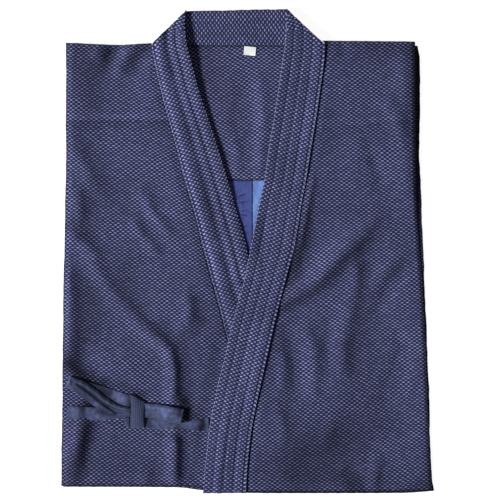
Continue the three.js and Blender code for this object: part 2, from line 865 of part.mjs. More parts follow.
const tailRise = (u) => 2 * restGap + tapeThickness + tailArch * Math.sin(Math.PI * u);
jacket.add(flatTape("tie_side_tape", clothMaterial("side_tape", "#474d6d", 0.85), sideTapeRows, () => restGap));
jacket.add(flatTape("tie_band_tape", clothMaterial("band_tape", "#3f4460", 0.85), bandTapeRows, () => restGap));
jacket.add(
  flatTape("tie_tail", clothMaterial("tail_tape", "#474d6d", 0.85), tailRows, tailRise),
);
jacket.add(tapeBody("tie_loop", clothMaterial("loop_tape", "#434865", 0.85), loopRows, 1.1, leftFrontTop));
jacket.add(
  sheetBody("tie_knot", clothMaterial("knot_tape", "#34384f", 0.85), {
    columns: [0, 0.15, 0.4, 0.6, 0.85, 1],
    rows: [0, 0.08, 0.2, 0.35, 0.5, 0.65, 0.8, 0.92, 1],
    plan: (u, v) => {
      const waist = 1.2 * Math.sin(Math.PI * v) ** 2;
      return [mix(knotLeftX + waist, knotRightX - waist, u), mix(knotLowY, knotHighY, v)];
    },
    bottom: (x, y) => leftFrontTop(x, y) + restGap,
    thickness: (x, y, u, v) => {
      const along = 0.45 + 0.55 * Math.sin(Math.PI * v);
      const across = 0.86 + 0.14 * Math.sin(Math.PI * u);
      return knotHeight * along * across;
    },
    edge: bandEdge,
  }),
);

export default jacket;
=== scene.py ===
"""Dresses the kendo jacket laid flat: woven cloth, quilted collar strip, linings, label and tied bow."""
import logging
import math
from dataclasses import dataclass, field
from enum import Enum
from typing import Callable, Sequence

import bpy
import numpy as np
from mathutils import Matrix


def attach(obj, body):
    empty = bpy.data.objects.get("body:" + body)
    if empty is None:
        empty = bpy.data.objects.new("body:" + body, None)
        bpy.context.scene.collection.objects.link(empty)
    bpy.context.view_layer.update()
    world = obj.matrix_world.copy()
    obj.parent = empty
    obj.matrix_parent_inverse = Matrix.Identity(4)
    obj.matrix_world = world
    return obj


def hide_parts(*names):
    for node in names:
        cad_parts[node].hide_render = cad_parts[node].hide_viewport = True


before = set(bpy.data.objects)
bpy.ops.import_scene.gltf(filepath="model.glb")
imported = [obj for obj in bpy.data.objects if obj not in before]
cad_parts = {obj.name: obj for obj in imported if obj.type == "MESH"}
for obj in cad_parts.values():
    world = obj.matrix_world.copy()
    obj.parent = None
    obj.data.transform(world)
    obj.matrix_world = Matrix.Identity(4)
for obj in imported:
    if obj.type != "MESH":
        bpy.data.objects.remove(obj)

LOG = logging.getLogger("kendo_jacket")
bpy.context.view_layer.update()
MM = 0.001
Array = np.ndarray
Amount = Array | float

# What a piece has at a point of it: x and y on the jacket in millimetres, u and v as shares of the piece
Surface = Callable[[Array, Array, Array, Array], Array]
WeavePlace = Callable[[Array, Array, Array, Array], tuple[Array, Array]]
Outline = Callable[[Array, Array], tuple[Array, Array]]
HeightMap = Callable[[Array, Array], Array]
SideLine = Callable[[Array], Array]

# Thicknesses and clearances in millimetres, as in the solids
FRONT_CLOTH = 1.6
YOKE_CLOTH = 1.6
LINING_CLOTH = 1.0
BAND_CLOTH = 4.4
NECK_BAND_CLOTH = 4.2
TAPE = 1.4
LABEL_CLOTH = 0.6
SEAM_GAP = 0.3
REST_GAP = 0.4

# Height of the folded layers under the sleeves and lower down
UPPER_STACK = 9.0
LOWER_STACK = 2.6
STACK_RAMP = (-20.0, 190.0)
LINING_REACH = 2.1

# Seam lines of the back
NECK_SEAM_Y = 349.4
YOKE_LOWER_Y = 121.6
LINING_END_Y = -34.0
LINING_SPLIT_X = 7.1


def smooth_step(low: float, high: float, value: Amount) -> Amount:
    """Rises softly from 0 at low to 1 at high."""
    share = np.clip((value - low) / (high - low), 0.0, 1.0)
    return share * share * (3.0 - 2.0 * share)


def mix(low: Amount, high: Amount, share: Amount) -> Amount:
    """Blends two values by a share from 0 to 1."""
    return low + (high - low) * share


def wander(places: Array, seed: float, length: float) -> Array:
    """Gives a soft uneven line between about -1 and 1.

    Args:
        places: Where the line is read, in millimetres.
        seed: A number that shifts the waves against each other.
        length: The longest wave in millimetres.

    Returns:
        The line's height at each place.
    """
    turns = places * (2.0 * math.pi / length)
    return (
        0.5 * np.sin(turns + seed)
        + 0.3 * np.sin(2.3 * turns + 2.1 * seed)
        + 0.2 * np.sin(4.1 * turns + 3.7 * seed)
    )


@dataclass(frozen=True)
class Line:
    """A smooth line through points, which never swings past them."""

    points: Sequence[tuple[float, float]]

    def at(self, place: Array) -> Array:
        """Reads the line.

        Args:
            place: Where to read it, inside or outside the points' range.

        Returns:
            The value there, held constant outside the range.
        """
        places = np.array([p[0] for p in self.points], dtype=float)
        values = np.array([p[1] for p in self.points], dtype=float)
        gaps = np.diff(places)
        slopes = np.diff(values) / gaps
        # The slope at each point, 0 where the line turns there
        turn = np.concatenate([slopes[:1], np.zeros(len(slopes) - 1), slopes[-1:]])
        for i in range(1, len(slopes)):
            if slopes[i - 1] * slopes[i] > 0.0:
                before = 2.0 * gaps[i] + gaps[i - 1]
                after = gaps[i] + 2.0 * gaps[i - 1]
                turn[i] = (before + after) / (before / slopes[i - 1] + after / slopes[i])
        held = np.clip(place, places[0], places[-1])
        k = np.clip(np.searchsorted(places, held) - 1, 0, len(gaps) - 1)
        t = (held - places[k]) / gaps[k]
        start = (2 * t**3 - 3 * t**2 + 1) * values[k]
        leave = (t**3 - 2 * t**2 + t) * gaps[k] * turn[k]
        end = (3 * t**2 - 2 * t**3) * values[k + 1]
        arrive = (t**3 - t**2) * gaps[k] * turn[k + 1]
        return start + leave + end + arrive


@dataclass(frozen=True)
class Fold:
    """A soft ridge along a line of points, or a trough where the rise is below 0.

    Each point holds x, y, rise and spread in millimetres. The spread on the side of larger x is
    multiplied by the lee, so a lee under 1 makes that flank the steeper one.
    """

    lee: float
    points: Sequence[tuple[float, float, float, float]]

    def height(self, x: Array, y: Array) -> Array:
        """Gives the fold's height at points of the cloth.

        Args:
            x: Places across the jacket.
            y: Places along the jacket.

        Returns:
            The height of the fold at each place.
        """
        best = np.zeros_like(x)
        for (ax, ay, a_rise, a_spread), (bx, by, b_rise, b_spread) in zip(self.points, self.points[1:]):
            dx, dy = bx - ax, by - ay
            t = np.clip(((x - ax) * dx + (y - ay) * dy) / (dx * dx + dy * dy), 0.0, 1.0)
            off_x, off_y = x - ax - t * dx, y - ay - t * dy
            lee_side = (off_x * dy - off_y * dx) * (1.0 if dy > 0 else -1.0) > 0
            spread = mix(a_spread, b_spread, t) * np.where(lee_side, self.lee, 1.0)
            rise = mix(a_rise, b_rise, smooth_step(0.0, 1.0, t))
            here = rise * np.exp(-0.5 * (np.hypot(off_x, off_y) / spread) ** 2)
            best = np.where(np.abs(here) > np.abs(best), here, best)
        return best


def fold(lee: float, *rows: tuple[float, float, float, float]) -> Fold:
    """Makes a fold from its lee and its rows of x, y, rise and spread."""
    return Fold(lee, rows)


def folds_height(folds: Sequence[Fold], x: Array, y: Array) -> Array:
    """Adds up the heights of several folds at the same places.

    Args:
        folds: The folds.
        x: Places across.
        y: Places along.

    Returns:
        Their sum at each place.
    """
    total = np.zeros_like(x)
    for one in folds:
        total = total + one.height(x, y)
    return total


class Edge(Enum):
    """An edge of a collar band: the first of its two columns in a course's rows."""

    LEFT = 0
    RIGHT = 2


@dataclass(frozen=True)
class BandCourse:
    """The run of a collar band, hem first: rows of left x, left y, right x and right y."""

    rows: Sequence[tuple[float, float, float, float]]

    def _column(self, number: int) -> Line:
        """Gives one column of the rows over the share of the run."""
        steps = np.linspace(0.0, 1.0, len(self.rows))
        return Line(tuple((s, row[number]) for s, row in zip(steps, self.rows)))

    def plan(self, u: Array, v: Array) -> tuple[Array, Array]:
        """Gives the place on the jacket for a share across and a share along the band."""
        left_x, left_y, right_x, right_y = (self._column(number).at(v) for number in range(4))
        return mix(left_x, right_x, u), mix(left_y, right_y, u)

    def edge_line(self, edge: Edge) -> Line:
        """Gives one edge of the band as a line of x over y."""
        return Line(tuple((row[edge.value + 1], row[edge.value]) for row in self.rows))

    def cloth_place(self, x: Array, y: Array) -> tuple[Array, Array]:
        """Gives a point's place in the band's own cloth.

        Args:
            x: Places across the jacket.
            y: Places along the jacket.

        Returns:
            The distance from the band's middle line and the length along it, in millimetres.
        """
        grown_by, samples, rounds = 2, 900, 4
        middle = [((row[1] + row[3]) / 2, (row[0] + row[2]) / 2) for row in self.rows]
        for end, near in ((0, 1), (-1, -2)):
            (y0, x0), (y1, x1) = middle[end], middle[near]
            grown = (y0 + grown_by * (y0 - y1), x0 + grown_by * (x0 - x1))
            middle.insert(0 if end == 0 else len(middle), grown)
        line = Line(tuple(middle))
        fine = np.linspace(middle[0][0], middle[-1][0], samples)
        fine_x = line.at(fine)
        walked = np.concatenate([[0.0], np.cumsum(np.hypot(np.diff(fine), np.diff(fine_x)))])
        slope = np.gradient(fine_x, fine)
        foot = y.copy()
        for _ in range(rounds):
            lean = np.interp(foot, fine, slope)
            away = (x - np.interp(foot, fine, fine_x)) * lean + (y - foot)
            foot = foot + away / (1.0 + lean * lean)
        lean = np.interp(foot, fine, slope)
        across = (x - np.interp(foot, fine, fine_x) - (y - foot) * lean) / np.hypot(1.0, lean)
        return across, np.interp(foot, fine, walked)


# Outline of the jacket: x over y down each side, y over x along the top and hem
LEFT_SIDE = Line(((-400, -318), (-250, -316.2), (-80, -314.5), (0, -312.8), (175, -309.4), (356, -309.4)))
RIGHT_FRONT_SIDE = Line(
    ((-411, 314.6), (-320, 309.4), (-200, 304.3), (-82, 299.2), (2, 292.4), (122, 286), (356, 284))
)
RIGHT_BACK_SIDE = Line(
    ((-408, 318), (-380, 313.4), (-252, 309.6), (-82, 302.8), (2, 299.4), (90, 296), (175, 292.6),
     (300, 294), (330, 293), (356, 288))
)
BACK_TOP = Line(
    ((-309, 350), (-218, 347), (-166, 350), (-132, 382), (-104, 403), (-20, 405), (64, 406), (96, 380),
     (121, 355), (150, 352), (294, 350))
)
BACK_HEM = Line(
    ((-318, -401), (-120, -402), (-76, -407), (40, -412), (150, -412), (260, -411.6), (318, -408))
)
LEFT_SHOULDER = Line(((-310, 355), (-218, 351), (-164, 354)))
LEFT_HEM = Line(((-318, -399), (-116, -399.5), (-76, -403), (-40, -404)))
RIGHT_SHOULDER = Line(((121, 358), (200, 357.5), (284, 356.5)))
RIGHT_HEM = Line(((-2, -411), (131, -411), (258, -410), (315, -407.5)))

# Courses of the two collar bands, hem first: left x, left y, right x, right y
UPPER_BAND = BandCourse((
    (-76.5, -411, -2.4, -411), (-74, -375, -0.5, -375),
    (-70.4, -343, 2.4, -343), (-65.6, -300, 7.8, -300),
    (-57.4, -256, 16.4, -256), (-48, -212, 26, -212),
    (-38.4, -174, 34.4, -174), (-30.4, -138, 42.6, -138),
    (-22, -106, 50, -106), (-14, -74, 58, -74),
    (-6.4, -48, 65, -48), (-1, -22, 72, -22),
    (4.4, 6, 80, 6), (12.4, 47, 87, 47),
    (20.4, 87, 93.4, 87), (28, 121, 99.8, 121),
    (35, 171, 107.8, 171), (43.4, 222, 116.4, 222),
    (51, 271, 123.4, 271), (57.6, 318, 128.8, 310),
    (61.8, 346, 130.8, 332), (64, 372, 131, 348),
    (65.4, 394, 127.6, 354), (65, 412, 120.7, 359.6),
))
LOWER_BAND = BandCourse((
    (-24, -190, 14, -48), (-34, -154, 10, -35),
    (-42.6, -120, 5, -22), (-50, -92, 0, -10),
    (-57.4, -66, -2, 2), (-64, -42, -4.4, 14),
    (-69.8, -20, -7.4, 26), (-76, 2, -10.6, 38),
    (-82, 26, -15, 53), (-89, 56, -21.6, 74),
    (-99, 90, -27, 95), (-108, 121, -34.6, 121),
    (-120.4, 170, -49.6, 170), (-135, 222, -66.3, 222),
    (-148.4, 271, -83, 271), (-157, 310, -94.6, 316),
    (-161.4, 332, -102.4, 345), (-163.4, 347, -106.2, 370),
    (-161.4, 353, -107.2, 392), (-157.4, 358, -104.4, 409),
))

# How far each band's free edge stands up, over y
LOWER_BAND_RISE = Line(
    ((-30, 0), (60, 0.4), (100, 2.4), (128, 4.2), (160, 5.2), (190, 4.8), (220, 4.6), (250, 5.8),
     (300, 8.6), (345, 9.6), (409, 5))
)
UPPER_BAND_RISE = Line(((-411, 0.5), (-60, 0.8), (60, 1.2), (200, 2), (320, 2.4), (412, 0.6)))

# Where the lower front is sewn to its band: x over y
LEFT_FRONT_SEAM = Line(
    ((-411, -56), (-230, -32), (-188, -29), (-154, -34.4), (-120, -43), (-92, -50.4), (-66, -57.8),
     (-42, -64.4), (-20, -70.2), (2, -76.4), (26, -82.4), (56, -89.4), (90, -99.4), (121, -108.4),
     (170, -120.8), (222, -135.4), (271, -148.8), (310, -157.4), (332, -161.8), (354, -163.8))
)

# Folds of the two fronts and the yoke: the lee, then rows of x, y, rise and spread
LEFT_FRONT_FOLDS = (
    fold(0.82, (-275, -1, 0, 11.5), (-255, -31, 4.1, 11.5), (-221, -81, 5.1, 11.5),
         (-187, -118, 5.8, 11.5), (-155, -147, 6.8, 10.5), (-134, -167, 8.5, 10.5), (-126, -198, 9.2, 9),
         (-126, -242, 8.2, 9)),
    fold(0.8, (-126, -286, 6.1, 9), (-124, -327, 8.8, 9), (-124, -368, 8.8, 9), (-124, -402, 7.1, 9)),
    fold(0.84, (-309, 37, 0, 9), (-291, 21, 4.8, 9), (-265, 1, 4.8, 9), (-241, -18, 0, 9)),
    fold(1.2, (-309, -18, 0, 7), (-303, -55, 5.4, 8), (-301, -113, 6.1, 9), (-301, -167, 6.1, 9),
         (-298, -208, 3.4, 8)),
    fold(0.92, (-275, -280, 4.2, 10.5), (-286, -317, 10.2, 10.5), (-292, -354, 9.9, 10.5),
         (-301, -395, 7.1, 10.5)),
    fold(0.8, (-116, -59, 0, 10.5), (-100, -88, 5.4, 10.5), (-99, -110, 5.4, 9), (-110, -128, 2.7, 9),
         (-126, -139, 0, 9)),
    fold(0.92, (-204, 64, 0, 7), (-184, 35, 2.9, 7), (-163, 8, 2.7, 7), (-141, -20, 0, 7)),
    fold(0.92, (-184, 89, 0, 7), (-162, 65, 2.7, 7), (-141, 40, 2.5, 7), (-121, 14, 0, 7)),
    fold(0.92, (-194, 118, 0, 7), (-172, 91, 2.4, 7), (-151, 67, 0, 7)),
    fold(0.88, (-294, 122, 0, 9), (-287, 91, 3.9, 9), (-286, 64, 3.6, 9), (-291, 42, 0, 9)),
    fold(0.92, (-303, 193, 0, 10.5), (-286, 161, 3.2, 10.5), (-265, 122, 3.6, 10.5),
         (-243, 89, 1.9, 10.5), (-230, 65, 0, 10.5)),
    fold(0.92, (-250, 353, 4.1, 10.5), (-255, 336, 4.1, 10.5), (-262, 314, 0, 9)),
    fold(1, (-219, 351, -5.1, 7), (-235, 326, -3.7, 7), (-243, 300, 0, 7)),
    fold(0.92, (-187, 354, 4.1, 8), (-204, 334, 5.1, 8), (-216, 312, 3.4, 8), (-223, 290, 0, 8)),
    fold(1, (-156, 349, -3.7, 7), (-180, 324, -3.4, 7), (-199, 298, 0, 7)),
    fold(0.92, (-167, -358, 0, 8), (-173, -378, 2.7, 8), (-175, -400, 3.1, 8)),
)
RIGHT_FRONT_FOLDS = (
    fold(0.82, (58, -86, 3.7, 10.5), (85, -71, 7.1, 12.5), (112, -55, 8.8, 12.5), (131, -35, 9.5, 12.5),
         (150, -14, 8.5, 12.5), (170, 6, 6.8, 11.5), (190, 23, 5.1, 11.5), (211, 50, 3.4, 11.5),
         (223, 79, 0, 11.5)),
    fold(0.84, (177, -11, 0, 9), (184, -31, 4.4, 9), (185, -55, 3.7, 9), (177, -89, 3.4, 10.5),
         (170, -120, 3.6, 10.5), (162, -154, 4.1, 10.5), (160, -191, 3.7, 10.5), (167, -229, 0, 10.5)),
    fold(1, (61, -116, 0, 9), (73, -147, -2.4, 9), (83, -178, -3.2, 9), (85, -208, -3.2, 9),
         (82, -239, -1.7, 9), (71, -258, 0, 9)),
    fold(0.88, (87, -111, 0, 9), (102, -137, 2.9, 9), (112, -167, 3.9, 9), (114, -205, 3.9, 9),
         (110, -242, 2.5, 9), (109, -280, 0, 9)),
    fold(0.92, (48, -159, 0, 7), (60, -184, 2.4, 7), (60, -218, 2.4, 7), (49, -249, 0, 7)),
    fold(1, (146, -82, 0, 7), (138, -110, -1.7, 7), (136, -150, -2, 7), (139, -184, -1.4, 7),
         (143, -220, 0, 7)),
    fold(1, (280, -14, 0, 9), (258, -42, -3.7, 9), (241, -65, -4.1, 9), (224, -93, -2.7, 9),
         (214, -122, 0, 9)),
    fold(0.96, (262, 3, 0, 9), (238, -28, 2.9, 9), (218, -55, 2.4, 9), (204, -81, 0, 9)),
    fold(1, (255, -125, 0, 10.5), (267, -164, -3.4, 10.5), (258, -201, -4.4, 10.5),
         (241, -235, -3.7, 10.5), (212, -269, 0, 10.5)),
    fold(1, (165, -356, 0, 9), (178, -378, -4.4, 9), (194, -404, -5.4, 9)),
    fold(0.88, (224, -336, 0, 8), (218, -365, 3.7, 8), (214, -402, 4.4, 8)),
    fold(0.92, (39, -258, 0, 8), (56, -280, 3.1, 8), (60, -314, 2.7, 8), (54, -343, 0, 8)),
    fold(0.92, (155, -268, 0, 9), (144, -293, 2.7, 9), (131, -322, 2.4, 9), (116, -344, 0, 9)),
    fold(1.12, (71, -334, 0, 16), (88, -320, 3.7, 18.5), (119, -310, 4.1, 18.5), (153, -320, 0, 16)),
    fold(1, (110, 142, 0, 6), (104, 105, 3.7, 6), (95, 62, 5.1, 6), (87, 26, 5.1, 6), (75, -8, 3.7, 6),
         (68, -31, 0, 6)),
    fold(1, (265, 363, 3.7, 10.5), (265, 292, 4.4, 10.5), (265, 207, 4.1, 10.5), (267, 122, 2.7, 10.5),
         (272, 60, 0, 10.5)),
    fold(0.88, (231, 275, 0, 9), (245, 246, 3.1, 9), (255, 213, 3.7, 9), (260, 184, 0, 9)),
    fold(1, (209, 181, 0, 9), (218, 149, -2.9, 9), (224, 118, -2.4, 9), (221, 91, 0, 9)),
    fold(1, (162, 356, -2.7, 6), (162, 339, -1.9, 6), (163, 324, 0, 6)),
    fold(1.08, (177, 207, 0, 10.5), (184, 176, 2.4, 10.5), (180, 135, 2, 10.5), (173, 105, 0, 10.5)),
)
YOKE_FOLDS = (
    fold(1, (14, 326, 0, 8), (22, 278, 2.5, 8), (26, 210, 2.9, 8), (20, 135, 2, 7)),
    fold(1, (-41, 302, 0, 8), (-29, 261, 2.2, 8), (-34, 217, 2, 7), (-20, 173, 2.4, 7),
         (-17, 135, 1.7, 7)),
    fold(1, (-10, 322, 0, 10.5), (-3, 258, -0.7, 10.5), (-2, 190, -0.7, 10.5), (0, 128, 0, 10.5)),
)

# Painted shade in the hollows and towards the hem and painted highlights on the crests and lit edges,
# including painted shadows cast beside the bands and the bow; the tape table also raises and lowers the
# tape: rows of x, y, share and spread
FRONT_PAINTED_LIGHT = (
    fold(1, (-282, 346, -0.26, 17), (-272, 305, -0.34, 20.5), (-262, 251, -0.3, 18.5),
         (-252, 224, -0.14, 13.5)),
    fold(1, (-279, 213, -0.16, 12), (-280, 186, -0.26, 13.5), (-262, 156, -0.2, 13.5),
         (-248, 122, -0.2, 13.5), (-258, 94, -0.1, 13.5)),
    fold(1, (-272, 108, -0.15, 12), (-272, 79, -0.3, 12), (-279, 50, -0.22, 12)),
    fold(1, (-296, 47, -0.2, 10), (-272, 30, -0.32, 10), (-255, 14, -0.12, 12)),
    fold(1, (-219, 353, -0.35, 8.5), (-236, 336, -0.55, 12), (-248, 315, -0.25, 12)),
    fold(1, (-168, 353, -0.35, 8.5), (-187, 332, -0.32, 8.5), (-204, 312, -0.26, 8.5),
         (-218, 292, 0, 8.5)),
    fold(1, (-214, 348, 0.28, 7), (-223, 315, 0.12, 8.5)),
    fold(1, (-173, 322, 0.28, 15.5), (-180, 275, 0.22, 20.5), (-187, 237, 0.22, 17)),
    fold(1, (-163, 190, 0.08, 20.5), (-146, 122, 0.12, 20.5), (-133, 79, 0.22, 13.5),
         (-126, 50, 0.1, 13.5)),
    fold(1, (-184, 64, -0.12, 8.5), (-175, 37, -0.26, 10), (-184, 14, 0, 8.5)),
    fold(1, (-168, 105, -0.1, 8.5), (-156, 81, -0.24, 8.5)),
    fold(1, (-139, 50, -0.12, 7), (-128, 26, -0.18, 7)),
    fold(1, (-184, 84, 0.12, 7), (-156, 52, 0.2, 7), (-129, 18, 0.14, 8.5)),
    fold(1, (-133, 3, 0.14, 18.5), (-139, -48, 0.14, 20.5), (-150, -94, 0.18, 17)),
    fold(1, (-105, -11, 0.14, 8.5), (-105, -57, 0.06, 8.5)),
    fold(1, (-228, -8, -0.12, 15.5), (-211, -28, -0.3, 17), (-199, -59, -0.28, 15.5),
         (-182, -88, -0.14, 13.5)),
    fold(1, (-146, -130, -0.12, 8.5), (-116, -147, -0.16, 8.5), (-105, -173, -0.22, 8.5),
         (-105, -205, -0.22, 8.5), (-112, -249, -0.4, 8.5)),
    fold(1, (-83, -94, -0.15, 8.5), (-82, -116, -0.42, 8.5), (-87, -133, -0.22, 8.5),
         (-109, -144, -0.12, 8.5)),
    fold(1, (-292, -42, -0.26, 15.5), (-272, -82, -0.34, 18.5), (-269, -125, -0.26, 18.5),
         (-292, -161, -0.36, 13.5), (-303, -181, -0.4, 13.5)),
    # Painted shadow cast above the loop
    fold(1, (-303, -195, -0.6, 12), (-279, -212, -0.78, 12), (-255, -232, -0.75, 12)),
    fold(1, (-279, -161, 0.12, 7), (-258, -186, 0.2, 8.5), (-236, -208, 0.12, 7)),
    fold(1, (-241, -220, -0.3, 7), (-211, -230, -0.35, 7), (-180, -247, -0.5, 7)),
    # Painted shadow under the loop
    fold(1, (-284, -258, -0.45, 3.5), (-276, -259, -0.85, 5), (-267, -262, -0.85, 4.5)),
    fold(1, (-275, -293, -0.6, 10), (-279, -320, -0.55, 10), (-289, -348, -0.5, 12),
         (-303, -375, -0.45, 12), (-309, -399, -0.35, 12)),
    fold(1, (-109, -303, -0.25, 8.5), (-109, -337, -0.2, 7), (-109, -371, -0.2, 8.5),
         (-112, -404, -0.15, 8.5)),
    fold(1, (-235, -320, -0.18, 25.5), (-228, -365, -0.27, 29), (-173, -378, -0.26, 25.5)),
    # Painted shadow cast beyond the tail's end
    fold(1, (-107, -259, -0.72, 10), (-100, -281, -0.72, 10)),
    fold(1, (150, 349, -0.08, 12), (211, 348, -0.2, 13.5), (269, 343, -0.32, 15.5)),
    fold(1, (131, 351, -0.45, 7), (134, 319, -0.12, 7)),
    fold(1, (214, 261, 0.12, 18.5), (211, 210, 0.06, 17), (235, 142, 0.18, 18.5)),
    fold(1, (252, 251, -0.12, 12), (265, 207, -0.22, 12)),
    fold(1, (131, 292, -0.12, 8.5), (133, 244, -0.18, 10), (128, 173, -0.14, 10)),
    # Painted shadow along the right edge of the upper band
    fold(1, (109, 190, -0.2, 5), (102, 147, -0.3, 6), (94, 105, -0.3, 6), (88, 62, -0.25, 7),
         (83, 20, -0.35, 7), (76, -18, -0.5, 8.5), (66, -55, -0.4, 7), (53, -93, -0.15, 5),
         (41, -144, -0.25, 6), (31, -188, -0.35, 6), (26, -215, -0.25, 6), (14, -256, -0.1, 5)),
    fold(1, (109, 81, -0.15, 6), (105, 45, -0.35, 6), (99, 14, -0.45, 7), (88, -21, -0.3, 7),
         (75, -55, -0.1, 7)),
    fold(1, (78, -67, 0.12, 7), (102, -42, 0.14, 8.5), (126, -16, 0.18, 10), (143, 6, 0.2, 12),
         (156, 33, 0.14, 12), (167, 64, 0, 12)),
    fold(1, (61, -96, -0.4, 7), (95, -77, -0.4, 7.5), (133, -55, -0.34, 8.5), (156, -28, -0.3, 10),
         (180, -1, -0.3, 10), (207, 23, -0.35, 10), (223, 47, -0.1, 10)),
    fold(1, (190, 3, -0.3, 8.5), (196, -23, -0.32, 10), (192, -48, -0.22, 10), (190, -82, -0.14, 10),
         (187, -127, -0.2, 10), (173, -161, -0.28, 12), (173, -196, -0.28, 12),
         (180, -232, -0.08, 13.5)),
    fold(1, (231, 3, 0.14, 13.5), (228, -28, 0.1, 12)),
    fold(1, (255, -55, 0.12, 12), (255, -82, 0.12, 13.5), (265, -133, 0.1, 13.5), (272, -218, 0.12, 13.5),
         (272, -307, 0.12, 15.5)),
    fold(1, (280, -3, -0.2, 8.5), (262, -25, -0.22, 8.5), (241, -45, -0.15, 10), (230, -69, -0.06, 10)),
    fold(1, (71, -157, -0.05, 7), (76, -191, -0.08, 7), (75, -229, -0.2, 8.5), (61, -249, -0.16, 10)),
    fold(1, (211, -82, -0.1, 15.5), (204, -157, -0.12, 17), (211, -218, -0.16, 20.5),
         (173, -259, -0.16, 20.5)),
    fold(1, (58, -283, -0.18, 24), (82, -341, -0.44, 30.5), (156, -331, -0.42, 27),
         (218, -293, -0.26, 24)),
    fold(1, (24, -371, -0.22, 24), (88, -392, -0.34, 24), (146, -385, -0.2, 17), (182, -392, -0.5, 17),
         (231, -388, -0.22, 17)),
    fold(1, (306, -303, -0.2, 7), (311, -354, -0.35, 7), (309, -395, -0.5, 8.5), (272, -400, -0.28, 8.5)),
)
BAND_PAINTED_LIGHT = (
    # Painted highlight along the lit outer strip of the lower band
    fold(1, (-160, 343, 0.4, 7), (-155, 298, 0.4, 7), (-143, 251, 0.42, 7), (-129, 203, 0.42, 7),
         (-116, 156, 0.38, 7), (-99, 105, 0.3, 6), (-82, 50, 0.3, 6), (-66, -1, 0.4, 7),
         (-54, -48, 0.36, 7)),
    fold(1, (-122, 264, 0, 6), (-99, 190, 0, 7), (-85, 147, -0.1, 7), (-73, 108, -0.26, 7),
         (-65, 74, -0.3, 7), (-56, 40, -0.2, 7), (-49, 9, 0, 7)),
    fold(1, (116, 332, 0.08, 8.5), (110, 275, 0.18, 8.5), (102, 224, 0.22, 8.5), (92, 173, 0.18, 8.5),
         (82, 122, 0.12, 8.5)),
    fold(1, (82, 326, 0.1, 13.5), (75, 258, 0.16, 13.5), (63, 181, 0.1, 13.5)),
    fold(1, (14, -133, 0.2, 8.5), (3, -181, 0.34, 10), (-14, -246, 0.26, 13.5), (-27, -320, 0.2, 15.5)),
    fold(1, (88, 397, -0.14, 8.5), (90, 326, -0.12, 10), (82, 258, -0.04, 8.5)),
    fold(1, (-41, 9, 0.14, 13.5), (-27, -28, 0.2, 13.5)),
)
YOKE_PAINTED_LIGHT = (
    fold(1, (-75, 353, -0.24, 15.5), (-63, 302, -0.28, 15.5), (-48, 258, -0.12, 12)),
    fold(1, (24, 312, 0.14, 8.5), (22, 224, 0.2, 8.5), (14, 152, 0.18, 7)),
    fold(1, (-37, 271, -0.15, 5), (-37, 196, -0.18, 5)),
    fold(1, (-20, 193, 0.14, 7), (-14, 139, 0.16, 7)),
)
TAPE_WRINKLES_AND_PAINTED_LIGHT = (
    fold(1, (-301, -217, 0.4, 2.5), (-310, -227, 0.5, 2.5)),
    fold(1, (-294, -232, 0.22, 5)),
    fold(1, (-284, -242, -0.25, 6), (-269, -252, -0.2, 5)),
    fold(1, (-257, -259, 0.3, 2), (-231, -274, 0.3, 2)),
    # Painted shadows between the strands of the loop
    fold(1, (-290, -226, -0.6, 1.6), (-272, -239, -0.75, 1.6), (-256, -252, -0.75, 1.6)),
    fold(1, (-254, -254, -0.6, 1.6), (-241, -263, -0.8, 1.6), (-224, -275, -0.7, 1.6)),
    fold(1, (-292, -218, -0.15, 2), (-268, -236, -0.2, 2.2), (-250, -249, -0.2, 2.4),
         (-234, -259, -0.15, 2.5)),
    fold(1, (-299, -217, -0.5, 1.6), (-299, -225, -0.35, 1.6)),
    fold(1, (-275, -222, -0.35, 4), (-255, -230, -0.45, 5), (-238, -242, -0.5, 5)),
    fold(1, (-223, -244, 0.45, 6), (-216, -252, 0.5, 6)),
    fold(1, (-202, -249, -0.35, 3.5), (-202, -266, -0.4, 3.5)),
    fold(1, (-298, -266, 0.4, 6), (-294, -280, 0.25, 5)),
    fold(1, (-282, -259, -0.6, 4.5), (-280, -271, -0.5, 3.5), (-282, -283, -0.25, 3.5)),
    fold(1, (-267, -264, 0.3, 7), (-262, -278, 0.35, 7)),
    fold(1, (-246, -269, -0.5, 6), (-231, -278, -0.35, 5)),
    fold(1, (-275, -284, 0.2, 2), (-231, -282, 0.2, 2)),
    fold(1, (-172, -259, 0.35, 3.5), (-155, -266, 0.3, 6), (-139, -273, 0.5, 7.5)),
    fold(1, (-167, -269, -0.25, 3.5)),
    fold(1, (-133, -283, -0.2, 3.5), (-128, -271, -0.15, 2.5)),
    fold(1, (-116, -263, -0.45, 3.5), (-113, -276, -0.5, 3.5)),
    fold(1, (-117, -289, 0.7, 2.5)),
    fold(1, (-168, -295, -0.35, 3.5), (-168, -286, -0.2, 3.5)),
    fold(1, (-155, -290, 0.3, 5), (-144, -297, 0.15, 5)),
    fold(1, (-131, -297, 0.3, 4.5)),
    fold(1, (-170, -301, 0.15, 1.5), (-129, -304, 0.2, 1.5)),
    fold(1, (-99, -288, 0.5, 5.5), (-88, -292, 0.25, 5)),
    fold(1, (-78, -285, -0.5, 3.5), (-76, -295, -0.65, 3.5), (-80, -303, -0.6, 4)),
    fold(1, (-69, -283, 0.25, 3), (-69, -300, 0.1, 2.5)),
)


def soft_most(one: Array, other: Array, round_off: float = 1.2) -> Array:
    """Takes the larger of two heights, rounded where they meet, never below either."""
    return 0.5 * (one + other + np.sqrt((one - other) ** 2 + round_off**2))


